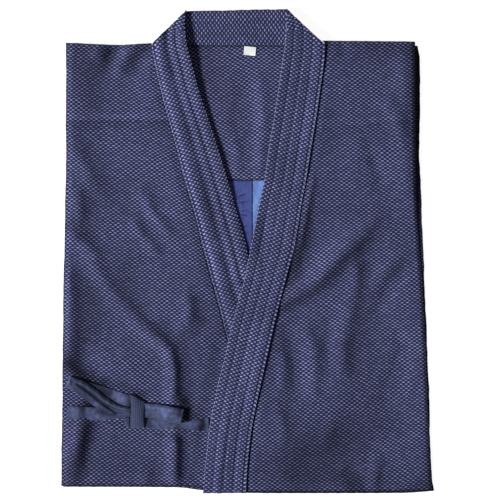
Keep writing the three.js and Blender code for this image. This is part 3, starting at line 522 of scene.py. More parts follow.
class Drape:
    """Heights of every layer above the surface, in millimetres, shared by all the pieces."""

    # Air under the loose fronts, and how far the stack rolls down at its sides
    PUFF = 2.6
    ROLL_LEFT = 1.4
    ROLL_RIGHT = 4.4
    # Height of the lower band where the upper one crosses it
    CROSSING = LINING_REACH + BAND_CLOTH + REST_GAP + 0.5
    # Middle line and half width of the strip that the bow presses down
    BOW_X = -200.0
    BOW_Y = -272.0
    BOW_SLOPE = 0.24
    BOW_HALF = 18.0

    @classmethod
    def stack(cls, x: Array, y: Array) -> Array:
        """Top of the folded back and sleeves, which rolls down toward the sides.

        Args:
            x: Places across.
            y: Places along.

        Returns:
            The height at each place.
        """
        share = smooth_step(STACK_RAMP[0], STACK_RAMP[1], y)
        right = cls.ROLL_RIGHT * (1 - smooth_step(-6, 5, RIGHT_FRONT_SIDE.at(y) - x))
        left = cls.ROLL_LEFT * (1 - smooth_step(0, 14, x - LEFT_SIDE.at(y)))
        return mix(LOWER_STACK, UPPER_STACK, share) - (right + left) * share

    @staticmethod
    def ripple(x: Array, y: Array, seed: float) -> Array:
        """Small unevenness of laid cloth."""
        broad = 0.35 * wander(x + 0.35 * y, seed, 150.0) + 0.35 * wander(y - 0.5 * x, seed + 1.3, 120.0)
        return broad + 0.16 * wander(x + 0.9 * y, seed + 2.2, 34.0) * wander(y - 0.6 * x, seed + 4.0, 47.0)

    @classmethod
    def left_bottom(cls, x: Array, y: Array) -> Array:
        """Inner face of the lower front, pressed down at its edges and under the tied bow.

        Args:
            x: Places across.
            y: Places along.

        Returns:
            The height at each place.
        """
        side = smooth_step(0, 12, x - LEFT_SIDE.at(y))
        band = mix(0.5, 1.0, smooth_step(0, 14, LEFT_FRONT_SEAM.at(y) - x))
        under = smooth_step(6, 30, UPPER_BAND.edge_line(Edge.LEFT).at(y) - x)
        ends = mix(0.4, 1.0, smooth_step(-404, -380, y)) * mix(0.35, 1.0, 1 - smooth_step(338, 354, y))
        bow_line = cls.BOW_Y - cls.BOW_SLOPE * (x - cls.BOW_X)
        bow = smooth_step(0, 14, np.abs(y - bow_line) - cls.BOW_HALF)
        ties = mix(0.55, 1.0, np.maximum(bow, smooth_step(-118, -96, x)))
        loose = cls.PUFF + folds_height(LEFT_FRONT_FOLDS, x, y) + cls.ripple(x, y, 1.0)
        lift = loose * side * np.minimum(band, under) * ends * ties
        return cls.stack(x, y) + SEAM_GAP + np.maximum(lift, 0.0)

    @staticmethod
    def crossing_swell(y: Array) -> Array:
        """Share of the height that the upper band gains along its stretch over the lower one."""
        return smooth_step(-330, -170, y) * (1 - smooth_step(-10, 150, y))

    @classmethod
    def right_bottom(cls, x: Array, y: Array) -> Array:
        """Inner face of the upper front, which climbs beside the crossing bands.

        Args:
            x: Places across.
            y: Places along.

        Returns:
            The height at each place.
        """
        gap = x - UPPER_BAND.edge_line(Edge.RIGHT).at(y) - REST_GAP
        side = smooth_step(0, 7, RIGHT_FRONT_SIDE.at(y) - x)
        band = mix(0.45, 1.0, smooth_step(0, 12, gap))
        ends = mix(0.4, 1.0, smooth_step(-411, -388, y)) * mix(0.35, 1.0, 1 - smooth_step(340, 357, y))
        loose = cls.PUFF + folds_height(RIGHT_FRONT_FOLDS, x, y) + cls.ripple(x, y, 4.0)
        climb = 0.8 * cls.CROSSING * cls.crossing_swell(y) * np.exp(-np.maximum(gap, 0.0) / 17.0)
        climb = climb + 0.55 * cls.neck_reach(y) * np.exp(-np.maximum(gap, 0.0) / 20.0)
        return cls.stack(x, y) + SEAM_GAP + np.maximum(loose * side * band * ends, 0.0) + climb

    @classmethod
    def left_top(cls, x: Array, y: Array) -> Array:
        """Outer face of the lower front."""
        return cls.left_bottom(x, y) + FRONT_CLOTH

    @staticmethod
    def neck_reach(y: Array) -> Array:
        """Extra height where a front band passes over the neck band."""
        return (NECK_BAND_CLOTH + REST_GAP) * smooth_step(280, 338, y)

    @classmethod
    def lower_band(cls, x: Array, y: Array, u: Array, v: Array) -> Array:
        """Underside of the lower band, whose free edge stands up off the back.

        Args:
            x, y: Places on the jacket.
            u, v: Shares of the piece.

        Returns:
            The height at each place.
        """
        lining = LINING_REACH * smooth_step(0.2, 0.55, u)
        rise = LOWER_BAND_RISE.at(y) * u**1.6 - cls.lower_turn(y, u, v)
        return cls.stack(x, y) + REST_GAP + np.maximum(lining, cls.neck_reach(y)) + rise

    @staticmethod
    def lower_turn(y: Array, u: Array, v: Array) -> Array:
        """Extra thickness at the lower band's upper end, where the strip turns to run behind the neck."""
        return (LOWER_BAND_RISE.at(y) * u**1.6 + 0.7) * smooth_step(0.92, 1.0, v)

    @staticmethod
    def no_turn(y: Array, u: Array, v: Array) -> Array:
        """No extra thickness."""
        return np.zeros_like(u)

    @staticmethod
    def lower_band_cover(x: Array, y: Array) -> Array:
        """Share of the lower band's footprint at a point, with a wide soft margin.

        Args:
            x: Places across.
            y: Places along.

        Returns:
            The share from 0 to 1.
        """
        seam = x - LOWER_BAND.edge_line(Edge.LEFT).at(y)
        free = LOWER_BAND.edge_line(Edge.RIGHT).at(y) - x
        left_x, left_y, right_x, right_y = LOWER_BAND.rows[0]
        end_x, end_y = right_x - left_x, right_y - left_y
        end = ((y - left_y) * end_x - (x - left_x) * end_y) / math.hypot(end_x, end_y)
        near = np.minimum(np.minimum(seam, np.where(y > right_y, free, seam)), end)
        return smooth_step(-60, -4, near)

    @classmethod
    def upper_band(cls, x: Array, y: Array, u: Array, v: Array) -> Array:
        """Underside of the upper band, which crosses the lower band and its front.

        Args:
            x, y: Places on the jacket.
            u, v: Shares of the piece.

        Returns:
            The height at each place.
        """
        lining = LINING_REACH * (1 - smooth_step(0.5, 0.8, u)) * smooth_step(-84, -56, y)
        swell = cls.crossing_swell(y) * smooth_step(0.05, 0.5, u)
        crossing = cls.CROSSING * np.maximum(cls.lower_band_cover(x, y), swell)
        cover = smooth_step(-26, -9, LEFT_FRONT_SEAM.at(y) - x)
        front = (FRONT_CLOTH + SEAM_GAP + 0.4) * cover
        beneath = soft_most(soft_most(lining, crossing), soft_most(front, cls.neck_reach(y)))
        rise = UPPER_BAND_RISE.at(y) * (1 - smooth_step(0, 0.6, u))
        return cls.stack(x, y) + REST_GAP + beneath + rise


# How far each quilted band drops below its crests: share of the width, drop in millimetres
LOWER_BAND_DROP = Line((
    (0, 1.7), (0.03, 0.5), (0.085, 1.4), (0.13, -0.5), (0.2, -1.9), (0.28, -1.3), (0.38, 1.0), (0.44, 2.8),
    (0.48, 3.1), (0.54, 1.6), (0.6, 0.5), (0.66, 0.9), (0.7, 2.1), (0.725, 2.0), (0.78, 0), (0.87, -0.5),
    (0.95, 0.5), (1, 1.9),
))
UPPER_BAND_DROP = Line((
    (0, 0.9), (0.04, 0.5), (0.17, 0.9), (0.205, 1.7), (0.225, 1.6), (0.27, 0.4), (0.41, 0.6), (0.445, 1.4),
    (0.465, 1.3), (0.51, 0), (0.65, 0.1), (0.685, 1.0), (0.705, 0.9), (0.75, -0.5), (0.88, -0.6),
    (0.925, 0.7), (0.94, 0.6), (0.965, -0.2), (1, 1.0),
))
NECK_BAND_DROP = Line((
    (0, 1.7), (0.05, 0.5), (0.16, 0), (0.31, 0.4), (0.34, 0.9), (0.37, 0.3), (0.5, 0), (0.65, 0.4),
    (0.68, 0.9), (0.71, 0.3), (0.9, 0), (1, 0.4),
))


@dataclass(frozen=True)
class Rim:
    """The rounded rim of a cloth piece: its inset, how many steps turn it, and grooves between layers.

    Each groove holds its level, as a share of the thickness, and its depth in millimetres.
    """

    radius: float
    steps: int
    grooves: Sequence[tuple[float, float]] = ()
    groove_width: float = 0.05

    def profile(self) -> list[tuple[float, float]]:
        """Lists inset and level from the outer face down to the inner one.

        Returns:
            The rows of inset and level.
        """
        turns = np.linspace(math.pi / 2, -math.pi / 2, self.steps + 1)
        rows = []
        for turn in turns:
            level = 0.5 + 0.5 * math.sin(turn)
            inset = self.radius * (1.0 - math.cos(turn))
            for place, depth in self.grooves:
                inset += depth * math.exp(-(((level - place) / self.groove_width) ** 2))
            rows.append((inset, level))
        return rows


@dataclass
class ClothPiece:
    """One closed piece of cloth on a grid, u across it and v along it.

    The outer face is the inner face moved up by the thickness, and a rounded rim joins them.
    The mesh carries a UV map named weave, in metres of cloth, and a brightness attribute that holds painted
    shade and highlights and the cloth's marks.
    """

    name: str
    across: int
    along: int
    plan: Outline
    bottom: Surface
    thickness: Surface
    rim: Rim
    weave: WeavePlace
    # Painted shade and highlights and the cloth's marks, as a brightness
    shade: Surface | None = None
    # Painted shade along the rim, as a brightness
    rim_shade: float = 0.6
    fray: float = 0.0

    def _steps(self) -> tuple[Array, Array]:
        """Gives the grid's shares across and along."""
        return np.meshgrid(np.linspace(0.0, 1.0, self.across + 1), np.linspace(0.0, 1.0, self.along + 1))

    def face_point(self, u: Array, v: Array) -> Array:
        """Gives points on the outer face, in millimetres, for shares across and along.

        Args:
            u: Shares across.
            v: Shares along.

        Returns:
            One row of x, y and z per point.
        """
        x, y = self.plan(u, v)
        z = self.bottom(x, y, u, v) + self.thickness(x, y, u, v)
        return np.stack([x, y, z], axis=-1)

    def build(self) -> bpy.types.Object:
        """Builds the closed mesh.

        Returns:
            The new object, with its place in its mesh and smooth faces.
        """
        u, v = self._steps()
        rows, cols = u.shape
        x, y = self.plan(u, v)
        cell = np.arange(rows * cols).reshape(rows, cols)
        # The grid's border, once round, and the point just inside each of its points
        loop = np.concatenate([cell[0, :-1], cell[:-1, -1], cell[-1, :0:-1], cell[:0:-1, 0]])
        inner_row = np.clip(loop // cols, 1, rows - 2)
        inner_col = np.clip(loop % cols, 1, cols - 2)
        inner = inner_row * cols + inner_col
        flat_x, flat_y, flat_u, flat_v = x.ravel(), y.ravel(), u.ravel(), v.ravel()
        # The direction straight out at each border point
        step_x = np.roll(flat_x[loop], -1) - flat_x[loop]
        step_y = np.roll(flat_y[loop], -1) - flat_y[loop]
        size = np.hypot(step_x, step_y)
        turn_x = step_x / size + np.roll(step_x / size, 1)
        turn_y = step_y / size + np.roll(step_y / size, 1)
        length = np.hypot(turn_x, turn_y)
        out_x, out_y = turn_y / length, -turn_x / length
        if self.fray > 0.0:
            walk = np.cumsum(size)
            shift = self.fray * wander(walk, float(len(self.name)), 21.0)
            flat_x, flat_y = flat_x.copy(), flat_y.copy()
            flat_x[loop] += out_x * shift
            flat_y[loop] += out_y * shift
        map_u, map_v = self.weave(flat_x, flat_y, flat_u, flat_v)
        painted_light_and_marks = self.shade(flat_x, flat_y, flat_u, flat_v) if self.shade else np.ones_like(flat_x)
        # Painted shade along the rim: the border of the outer face and the whole inner face take the rim's
        # brightness
        painted_light_and_marks[loop] *= self.rim_shade
        run_u, run_v = map_u[loop] - map_u[inner], map_v[loop] - map_v[inner]
        run = np.maximum(np.hypot(run_u, run_v), 1e-6)

        # Outer face, inner face, then the rings of the rim between them
        profile = self.rim.profile()
        points, maps, painted_lights_and_marks = [], [], [painted_light_and_marks, np.full_like(painted_light_and_marks, self.rim_shade)]
        for index in (0, -1):
            px, py = flat_x.copy(), flat_y.copy()
            px[loop] -= out_x * profile[index][0]
            py[loop] -= out_y * profile[index][0]
            low = self.bottom(px, py, flat_u, flat_v)
            high = low + self.thickness(px, py, flat_u, flat_v)
            points.append(np.stack([px, py, high if index == 0 else low], axis=-1))
            maps.append(np.stack([map_u, map_v], axis=-1))
        count = len(loop)
        ring_start = 2 * rows * cols
        rings = [loop]
        travelled = 0.0
        for number, (inset, level) in enumerate(profile[1:-1]):
            before_inset, before_level = profile[number]
            px = flat_x[loop] - out_x * inset
            py = flat_y[loop] - out_y * inset
            low = self.bottom(px, py, flat_u[loop], flat_v[loop])
            thick = self.thickness(px, py, flat_u[loop], flat_v[loop])
            travelled += math.hypot(before_inset - inset, (before_level - level) * float(thick.mean()))
            points.append(np.stack([px, py, low + thick * level], axis=-1))
            maps.append(np.stack([map_u[loop] + run_u / run * travelled,
                                  map_v[loop] + run_v / run * travelled], axis=-1))
            # Painted shade down the rim rings, darker toward the inner face
            painted_lights_and_marks.append(painted_light_and_marks[loop] * mix(0.75, 1.0, level))
            rings.append(ring_start + number * count + np.arange(count))
        rings.append(rows * cols + loop)

        a, b = cell[:-1, :-1].ravel(), cell[:-1, 1:].ravel()
        c, d = cell[1:, 1:].ravel(), cell[1:, :-1].ravel()
        faces = [np.stack([a, b, c, d], axis=-1), np.stack([a, d, c, b], axis=-1) + rows * cols]
        for upper, lower in zip(rings, rings[1:]):
            faces.append(np.stack([lower, np.roll(lower, -1), np.roll(upper, -1), upper], axis=-1))
        return make_mesh(self.name, np.concatenate(points), np.concatenate(faces), np.concatenate(maps),
                         np.concatenate(painted_lights_and_marks))


def make_mesh(name: str, points: Array, faces: Array, maps: Array, painted_lights_and_marks: Array) -> bpy.types.Object:
    """Makes an object from points in millimetres.

    Args:
        name: The object's name.
        points: One row per point.
        faces: One row of four point numbers per face, or with one repeated where it has three.
        maps: The weave coordinates of each point, in millimetres.
        painted_lights_and_marks: The brightness of each point: painted shade and highlights, and marks such
            as stitch lines.

    Returns:
        The new object, smooth shaded, with the UV map weave in metres and the brightness attribute that
        holds the painted shade and highlights and the marks.
    """
    mesh = bpy.data.meshes.new(name)
    mesh.from_pydata((points * MM).tolist(), [], [tuple(dict.fromkeys(face)) for face in faces.tolist()])
    layer = mesh.uv_layers.new(name="weave")
    corner = np.empty(len(mesh.loops), dtype=np.int32)
    mesh.loops.foreach_get("vertex_index", corner)
    layer.data.foreach_set("uv", (maps[corner] * MM).astype(np.float32).ravel())
    mesh.attributes.new("painted_light_and_marks", "FLOAT", "POINT").data.foreach_set("value", painted_lights_and_marks.astype(np.float32))
    mesh.polygons.foreach_set("use_smooth", np.ones(len(mesh.polygons), dtype=bool))
    mesh.update()
    made = bpy.data.objects.new(name, mesh)
    bpy.context.scene.collection.objects.link(made)
    return made


class Value:
    """A number from a shader node that Python's operators extend with Math nodes."""

    def __init__(self, finish: "NodeTree", socket: bpy.types.NodeSocket) -> None:
        """Keeps the tree and the socket."""
        self.finish = finish
        self.socket = socket

    def _math(self, operation: str, *others: "Value | float") -> "Value":
        """Adds one Math node on this value and others."""
        values = dict(enumerate((self, *others)))
        return self.finish.node("ShaderNodeMath", {"operation": operation}, values)

    def __add__(self, other: "Value | float") -> "Value":
        """Adds."""
        return self._math("ADD", other)

    __radd__ = __add__

    def __mul__(self, other: "Value | float") -> "Value":
        """Multiplies."""
        return self._math("MULTIPLY", other)

    __rmul__ = __mul__

    def __sub__(self, other: "Value | float") -> "Value":
        """Subtracts."""
        return self._math("SUBTRACT", other)

    def __rsub__(self, other: float) -> "Value":
        """Subtracts this from a number."""
        return self * -1.0 + other

    def __truediv__(self, other: "Value | float") -> "Value":
        """Divides."""
        return self._math("DIVIDE", other)

    def __pow__(self, other: "Value | float") -> "Value":
        """Raises to a power."""
        return self._math("POWER", other)

    def floor(self) -> "Value":
        """Rounds down."""
        return self._math("FLOOR")

    def fraction(self) -> "Value":
        """Keeps what is past the whole number."""
        return self._math("FRACT")

    def wrap(self, size: float) -> "Value":
        """Gives the remainder after division by a size, never below 0."""
        return self._math("WRAP", size, 0.0)

    def sine(self) -> "Value":
        """Takes the sine."""
        return self._math("SINE")

    def most(self, other: "Value | float") -> "Value":
        """Takes the larger of two."""
        return self._math("MAXIMUM", other)

    def smooth(self, low: float, high: float) -> "Value":
        """Rises softly from 0 at low to 1 at high, or falls where low is the larger."""
        settings = {"interpolation_type": "SMOOTHSTEP"}
        return self.finish.node("ShaderNodeMapRange", settings, {0: self, 1: low, 2: high})


class NodeTree:
    """A new material with a Principled shader, filled by expressions."""

    def __init__(self, name: str) -> None:
        """Makes the empty material.

        Args:
            name: The material's name.
        """
        self.material = bpy.data.materials.new(name)
        self.material.use_nodes = True
        self.tree = self.material.node_tree
        self.shader = self.tree.nodes["Principled BSDF"]

    def node(self, kind: str, settings: dict, values: dict, output: int = 0) -> Value:
        """Adds a node.

        Args:
            kind: The node's type.
            settings: Its own settings, which are set first.
            values: Numbers, vectors, values or links for its inputs, by name or number.
            output: Which output is wanted.

        Returns:
            The wanted output.
        """
        made = self.tree.nodes.new(kind)
        for key, setting in settings.items():
            setattr(made, key, setting)
        for key, value in values.items():
            if isinstance(value, Value):
                self.tree.links.new(value.socket, made.inputs[key])
            else:
                made.inputs[key].default_value = value
        return Value(self, made.outputs[output])

    def weave_place(self) -> tuple[Value, Value]:
        """Gives the weave coordinates in millimetres of cloth.

        Returns:
            The place across and the place along the cloth.
        """
        place = self.node("ShaderNodeUVMap", {"uv_map": "weave"}, {})
        u = self.node("ShaderNodeSeparateXYZ", {}, {0: place})
        v = self.node("ShaderNodeSeparateXYZ", {}, {0: place}, 1)
        return u / MM, v / MM

    def noise(self, u: Value, v: Value, size: float, detail: float = 2.0, seed: float = 0.0) -> Value:
        """Gives soft noise whose blobs are about one size in millimetres."""
        place = self.node("ShaderNodeCombineXYZ", {}, {0: u, 1: v, 2: seed})
        return self.node("ShaderNodeTexNoise", {}, {"Vector": place, "Scale": 1.0 / size, "Detail": detail})

    def chance(self, u: Value, v: Value) -> Value:
        """Gives an even chance from 0 to 1 for each pair of whole numbers."""
        place = self.node("ShaderNodeCombineXYZ", {}, {0: u, 1: v, 2: 0.0})
        return self.node("ShaderNodeTexWhiteNoise", {"noise_dimensions": "3D"}, {"Vector": place})

    def blend(self, share: Value | float, low: object, high: object) -> Value:
        """Mixes two colours by a share."""
        return self.node("ShaderNodeMix", {"data_type": "RGBA"}, {0: share, 6: low, 7: high}, 2)

    def scale_brightness(self, colour: Value, share: Value) -> Value:
        """Multiplies a colour by a brightness.

        Args:
            colour: The colour.
            share: The brightness.

        Returns:
            The new colour.
        """
        grey = self.node("ShaderNodeCombineColor", {}, {0: share, 1: share, 2: share})
        settings = {"data_type": "RGBA", "blend_type": "MULTIPLY"}
        return self.node("ShaderNodeMix", settings, {0: 1.0, 6: colour, 7: grey}, 2)

    def finish(self, colour: Value, height: Value, depth: float, roughness: float, sheen: float) -> None:
        """Links the colour, darkened and lightened by the mesh's painted shade, highlights and marks, and
        the relief, and sets the constants.

        Args:
            colour: The base colour.
            height: The relief from 0 to 1.
            depth: How deep the relief is, in millimetres.
            roughness: The cloth's roughness.
            sheen: The weight of its soft nap.
        """
        bump = self.node("ShaderNodeBump", {}, {"Strength": 1.0, "Distance": depth * MM, "Height": height})
        # Painted shade and highlights from the mesh attribute darken and lighten the colour
        colour = self.scale_brightness(colour, self.node("ShaderNodeAttribute", {"attribute_name": "painted_light_and_marks"}, {}, 2))
        self.tree.links.new(colour.socket, self.shader.inputs["Base Color"])
        self.tree.links.new(bump.socket, self.shader.inputs["Normal"])
        self.shader.inputs["Roughness"].default_value = roughness
        self.shader.inputs["Sheen Weight"].default_value = sheen
        self.shader.inputs["Sheen Roughness"].default_value = 0.5
        self.shader.inputs["Specular IOR Level"].default_value = 0.1


def linear(red: float, green: float, blue: float) -> tuple[float, float, float, float]:
    """Turns a screen colour from 0 to 255 into light values.

    Args:
        red: Its red.
        green: Its green.
        blue: Its blue.

    Returns:
        Red, green, blue and a full alpha.
    """
    def one(value: float) -> float:
        """Converts one channel."""
        share = value / 255.0
        return share / 12.92 if share <= 0.04045 else ((share + 0.055) / 1.055) ** 2.4
    return (one(red), one(green), one(blue), 1.0)


@dataclass(frozen=True)
class SashikoFinish:
    """Indigo cotton with raised pale grains in staggered rows, its sizes in millimetres."""

    name: str
    ground: tuple[float, float, float] = (28, 30, 67)
    grain: tuple[float, float, float] = (121, 125, 158)
    pitch_across: float = 8.9
    pitch_along: float = 3.22
    half_long: float = 2.75
    half_high: float = 1.25
    relief: float = 0.5
    seed: float = 0.0

    def build(self) -> bpy.types.Material:
        """Builds the woven material.

        Returns:
            The new material.
        """
        tree = NodeTree(self.name)
        u, v = tree.weave_place()
        drift = tree.noise(u, v, 26.0, 2.0, self.seed + 3.0) - 0.5
        stray = tree.noise(u, v, 7.0, 1.0, self.seed + 9.0) - 0.5
        row = (v + drift * 2.4 + stray * 0.5) / self.pitch_along
        row_number = row.floor()
        column = (u + stray * 1.1) / self.pitch_across + row_number.wrap(2.0) * 0.5
        column_number = column.floor()
        luck = tree.chance(column_number, row_number)
        far_u = (column.fraction() - 0.5) * (self.pitch_across / self.half_long)
        far_v = (row.fraction() - 0.5) * (self.pitch_along / self.half_high)
        away = far_u * far_u + far_v * far_v
        mask = away.smooth(1.25, 0.35)
        fibre = tree.noise(u * 2.2, v * 6.0, 2.0, 3.0, self.seed)
        # Random broad brighter and darker patches
        broad_patches = tree.noise(u, v, 90.0, 3.0, self.seed + 17.0)
        light = (luck * 0.42 + 0.72) * (fibre * 0.5 + 0.75)
        grain = tree.scale_brightness(tree.blend(1.0, linear(*self.ground), linear(*self.grain)), light)
        cloth = tree.blend(mask, linear(*self.ground), grain)
        colour = tree.scale_brightness(cloth, broad_patches * 0.5 + 0.75)
        relief = (1.0 - away).most(0.0) ** 0.5 + fibre * 0.22
        tree.finish(colour, relief, self.relief, 0.95, 0.03)
        return tree.material


@dataclass(frozen=True)
class PlainFinish:
    """Plain-woven cotton or tape with fine threads along its length."""

    name: str
    base: tuple[float, float, float]
    rib: float = 1.1
    contrast: float = 0.22
    relief: float = 0.12
    nap: float = 0.08
    cloud: float = 0.45
    blot: float = 16.0
    seed: float = 0.0

    def build(self) -> bpy.types.Material:
        """Builds the plain material.

        Returns:
            The new material.
        """
        tree = NodeTree(self.name)
        u, v = tree.weave_place()
        warp = (u * (2 * math.pi / self.rib)).sine()
        weft = (v * (2 * math.pi / (self.rib * 0.8))).sine()
        threads = warp * 0.5 + weft * 0.3
        fibre = tree.noise(u * 3.0, v, 1.6, 3.0, self.seed)
        cloud = tree.noise(u, v, self.blot, 3.0, self.seed + 5.0)
        steady = 1.0 - 0.5 * self.cloud - 0.5 * self.contrast
        light = threads * (self.contrast * 0.5) + fibre * self.contrast + cloud * self.cloud + steady
        colour = tree.scale_brightness(tree.blend(1.0, linear(*self.base), linear(*self.base)), light)
        tree.finish(colour, threads * 0.4 + fibre * 0.6 + cloud, self.relief, 0.85, self.nap)
        return tree.material


@dataclass(frozen=True)
class ThreadFinish:
    """Twisted sewing thread."""

    name: str
    base: tuple[float, float, float]

    def build(self) -> bpy.types.Material:
        """Builds the thread material.

        Returns:
            The new material.
        """
        tree = NodeTree(self.name)
        u, v = tree.weave_place()
        twist = ((u + v) * 5.0).sine()
        colour = tree.scale_brightness(tree.blend(1.0, linear(*self.base), linear(*self.base)), twist * 0.12 + 0.95)
        tree.finish(colour, twist, 0.08, 0.8, 0.1)
        return tree.material


class Finish(Enum):
    """The jacket's finishes."""

    LEFT_FRONT = SashikoFinish("sashiko_lower_front", seed=1.0)
    RIGHT_FRONT = SashikoFinish("sashiko_upper_front", seed=2.0)
    BACK = SashikoFinish("sashiko_back", seed=3.0)
    YOKE = SashikoFinish("sashiko_yoke", (30, 32, 70), (125, 128, 162), seed=4.0)
    BAND = SashikoFinish("sashiko_band", (37, 39, 76), (128, 132, 163), 9.2, 3.45, 2.5, 1.32, seed=5.0)
    NAVY = PlainFinish("navy_lining", (64, 74, 132), seed=6.0)
    SKY = PlainFinish("light_blue_lining", (95, 122, 180), seed=7.0)
    TAPE = PlainFinish(
        "tie_tape", (61, 68, 97), rib=1.6, contrast=0.34, relief=0.4, cloud=1.5, blot=7.0, seed=8.0
    )
    KNOT = PlainFinish("knot_tape", (58, 64, 92), rib=1.4, contrast=0.4, relief=0.3, seed=9.0)
    LABEL = PlainFinish("label_cloth", (229, 232, 233), rib=0.7, contrast=0.06, nap=0.05, seed=10.0)
    # Pale thread of the edge beads, paler than the cloth's own grains: pale grains with a painted highlight
    THREAD = ThreadFinish("pale_thread", (150, 154, 196))


class Workroom:
    """Keeps the built finishes and attaches each piece to the jacket."""

    def __init__(self) -> None:
        """Builds every finish once."""
        self.materials = {finish: finish.value.build() for finish in Finish}

    def attach(self, piece: bpy.types.Object, finish: Finish, slot: str, *nodes: str) -> bpy.types.Object:
        """Gives a piece its finish and its place on the jacket.

        Args:
            piece: The new object.
            finish: Its finish.
            slot: The record's slot; not used.
            nodes: The solids that it stands for.

        Returns:
            The same object.
        """
        piece.data.materials.append(self.materials[finish])
        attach(piece, "root")
        if nodes:
            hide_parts(*nodes)
        LOG.info("%s: %d faces", piece.name, len(piece.data.polygons))
        return piece


@dataclass
class StitchRun:
    """A run of raised stitches, joined in one mesh."""

    name: str
    pitch: float = 6.9
    long: float = 3.0
    wide: float = 2.0
    flatness: float = 0.7
    sink: float = 0.35
    sections: int = 5
    sides: int = 6
    seed: int = 1
    points: list[Array] = field(default_factory=list)
    faces: list[tuple[int, ...]] = field(default_factory=list)
    maps: list[Array] = field(default_factory=list)

    def follow(self, path: Array) -> None:
        """Lays stitches along a path.

        Args:
            path: Points on the cloth in millimetres, close together.
        """
        draw = np.random.default_rng(self.seed)
        step = np.linalg.norm(np.diff(path, axis=0), axis=1)
        walk = np.concatenate([[0.0], np.cumsum(step)])
        places = np.arange(self.pitch * 0.5, walk[-1] - self.long, self.pitch)
        ring = np.linspace(0.0, 2.0 * math.pi, self.sides + 1)[:-1]
        for place in places:
            begin = place + draw.uniform(-0.4, 0.4)
            spine = np.linspace(-0.5, 0.5, self.sections)
            at = begin + (spine + 0.5) * self.long * draw.uniform(0.9, 1.1)
            middle = np.stack([np.interp(at, walk, path[:, k]) for k in range(3)], axis=-1)
            along = middle[-1] - middle[0]
            along /= np.linalg.norm(along)
            side = np.cross(np.array([0.0, 0.0, 1.0]), along)
            side /= np.linalg.norm(side)
            up = np.cross(along, side)
            first = self.sections * self.sides * len(self.points)
            girth = self.wide * 0.5 * np.sqrt(np.clip(1.0 - (1.94 * spine) ** 2, 0.02, 1.0))
            block = [
                middle[k] + side * (girth[k] * math.cos(t))
                + up * (girth[k] * math.sin(t) * self.flatness - self.sink)
                for k in range(self.sections) for t in ring
            ]
            self.points.append(np.array(block))
            self.maps.append(np.array([[at[k], t] for k in range(self.sections) for t in ring]))
            last = first + (self.sections - 1) * self.sides
            for start in range(first, last, self.sides):
                for n in range(self.sides):
                    a, b = start + n, start + (n + 1) % self.sides
                    self.faces.append((a, a + self.sides, b + self.sides, b))
            # Two faces close each six-sided end
            for cap, turn in ((first, 1), (last, -1)):
                corners = [cap + n for n in range(self.sides)][::turn]
                self.faces.append(tuple(corners[:4]))
                self.faces.append((corners[0], corners[3], corners[4], corners[5]))

    def build(self) -> bpy.types.Object:
        """Joins the stitches into one object."""
        points, maps = np.concatenate(self.points), np.concatenate(self.maps)
        return make_mesh(self.name, points, np.array(self.faces), maps, np.ones(len(points)))


# Rims of the cut pieces, and of a folded sleeve with the groove between its layers
CLOTH_RIM = Rim(0.7, 6)
BAND_RIM = Rim(1.7, 9)
LABEL_RIM = Rim(0.25, 4)
FOLDED_RIM = Rim(1.4, 18, ((0.5, 1.1),))


def slanted_weave(tilt: float) -> WeavePlace:
    """Makes panel weave coordinates whose rows slope down to the right by a tilt in degrees.

    Args:
        tilt: The slope in degrees.

    Returns:
        The function that gives the weave place.
    """
    slope = math.tan(math.radians(tilt))

    def place(x: Array, y: Array, u: Array, v: Array) -> tuple[Array, Array]:
        """Gives the weave place for a point of the panel."""
        bend = 2.2 * wander(x + 0.4 * y, 1.7, 310.0) + 1.2 * wander(y - 0.3 * x, 0.6, 190.0)
        return x - slope * y, y + slope * x + bend

    return place


def dip(place: Array, centre: float, width: float) -> Array:
    """Gives a bell from 1 at a centre toward 0, for grooves and stitch lines."""
    return np.exp(-(((place - centre) / width) ** 2))


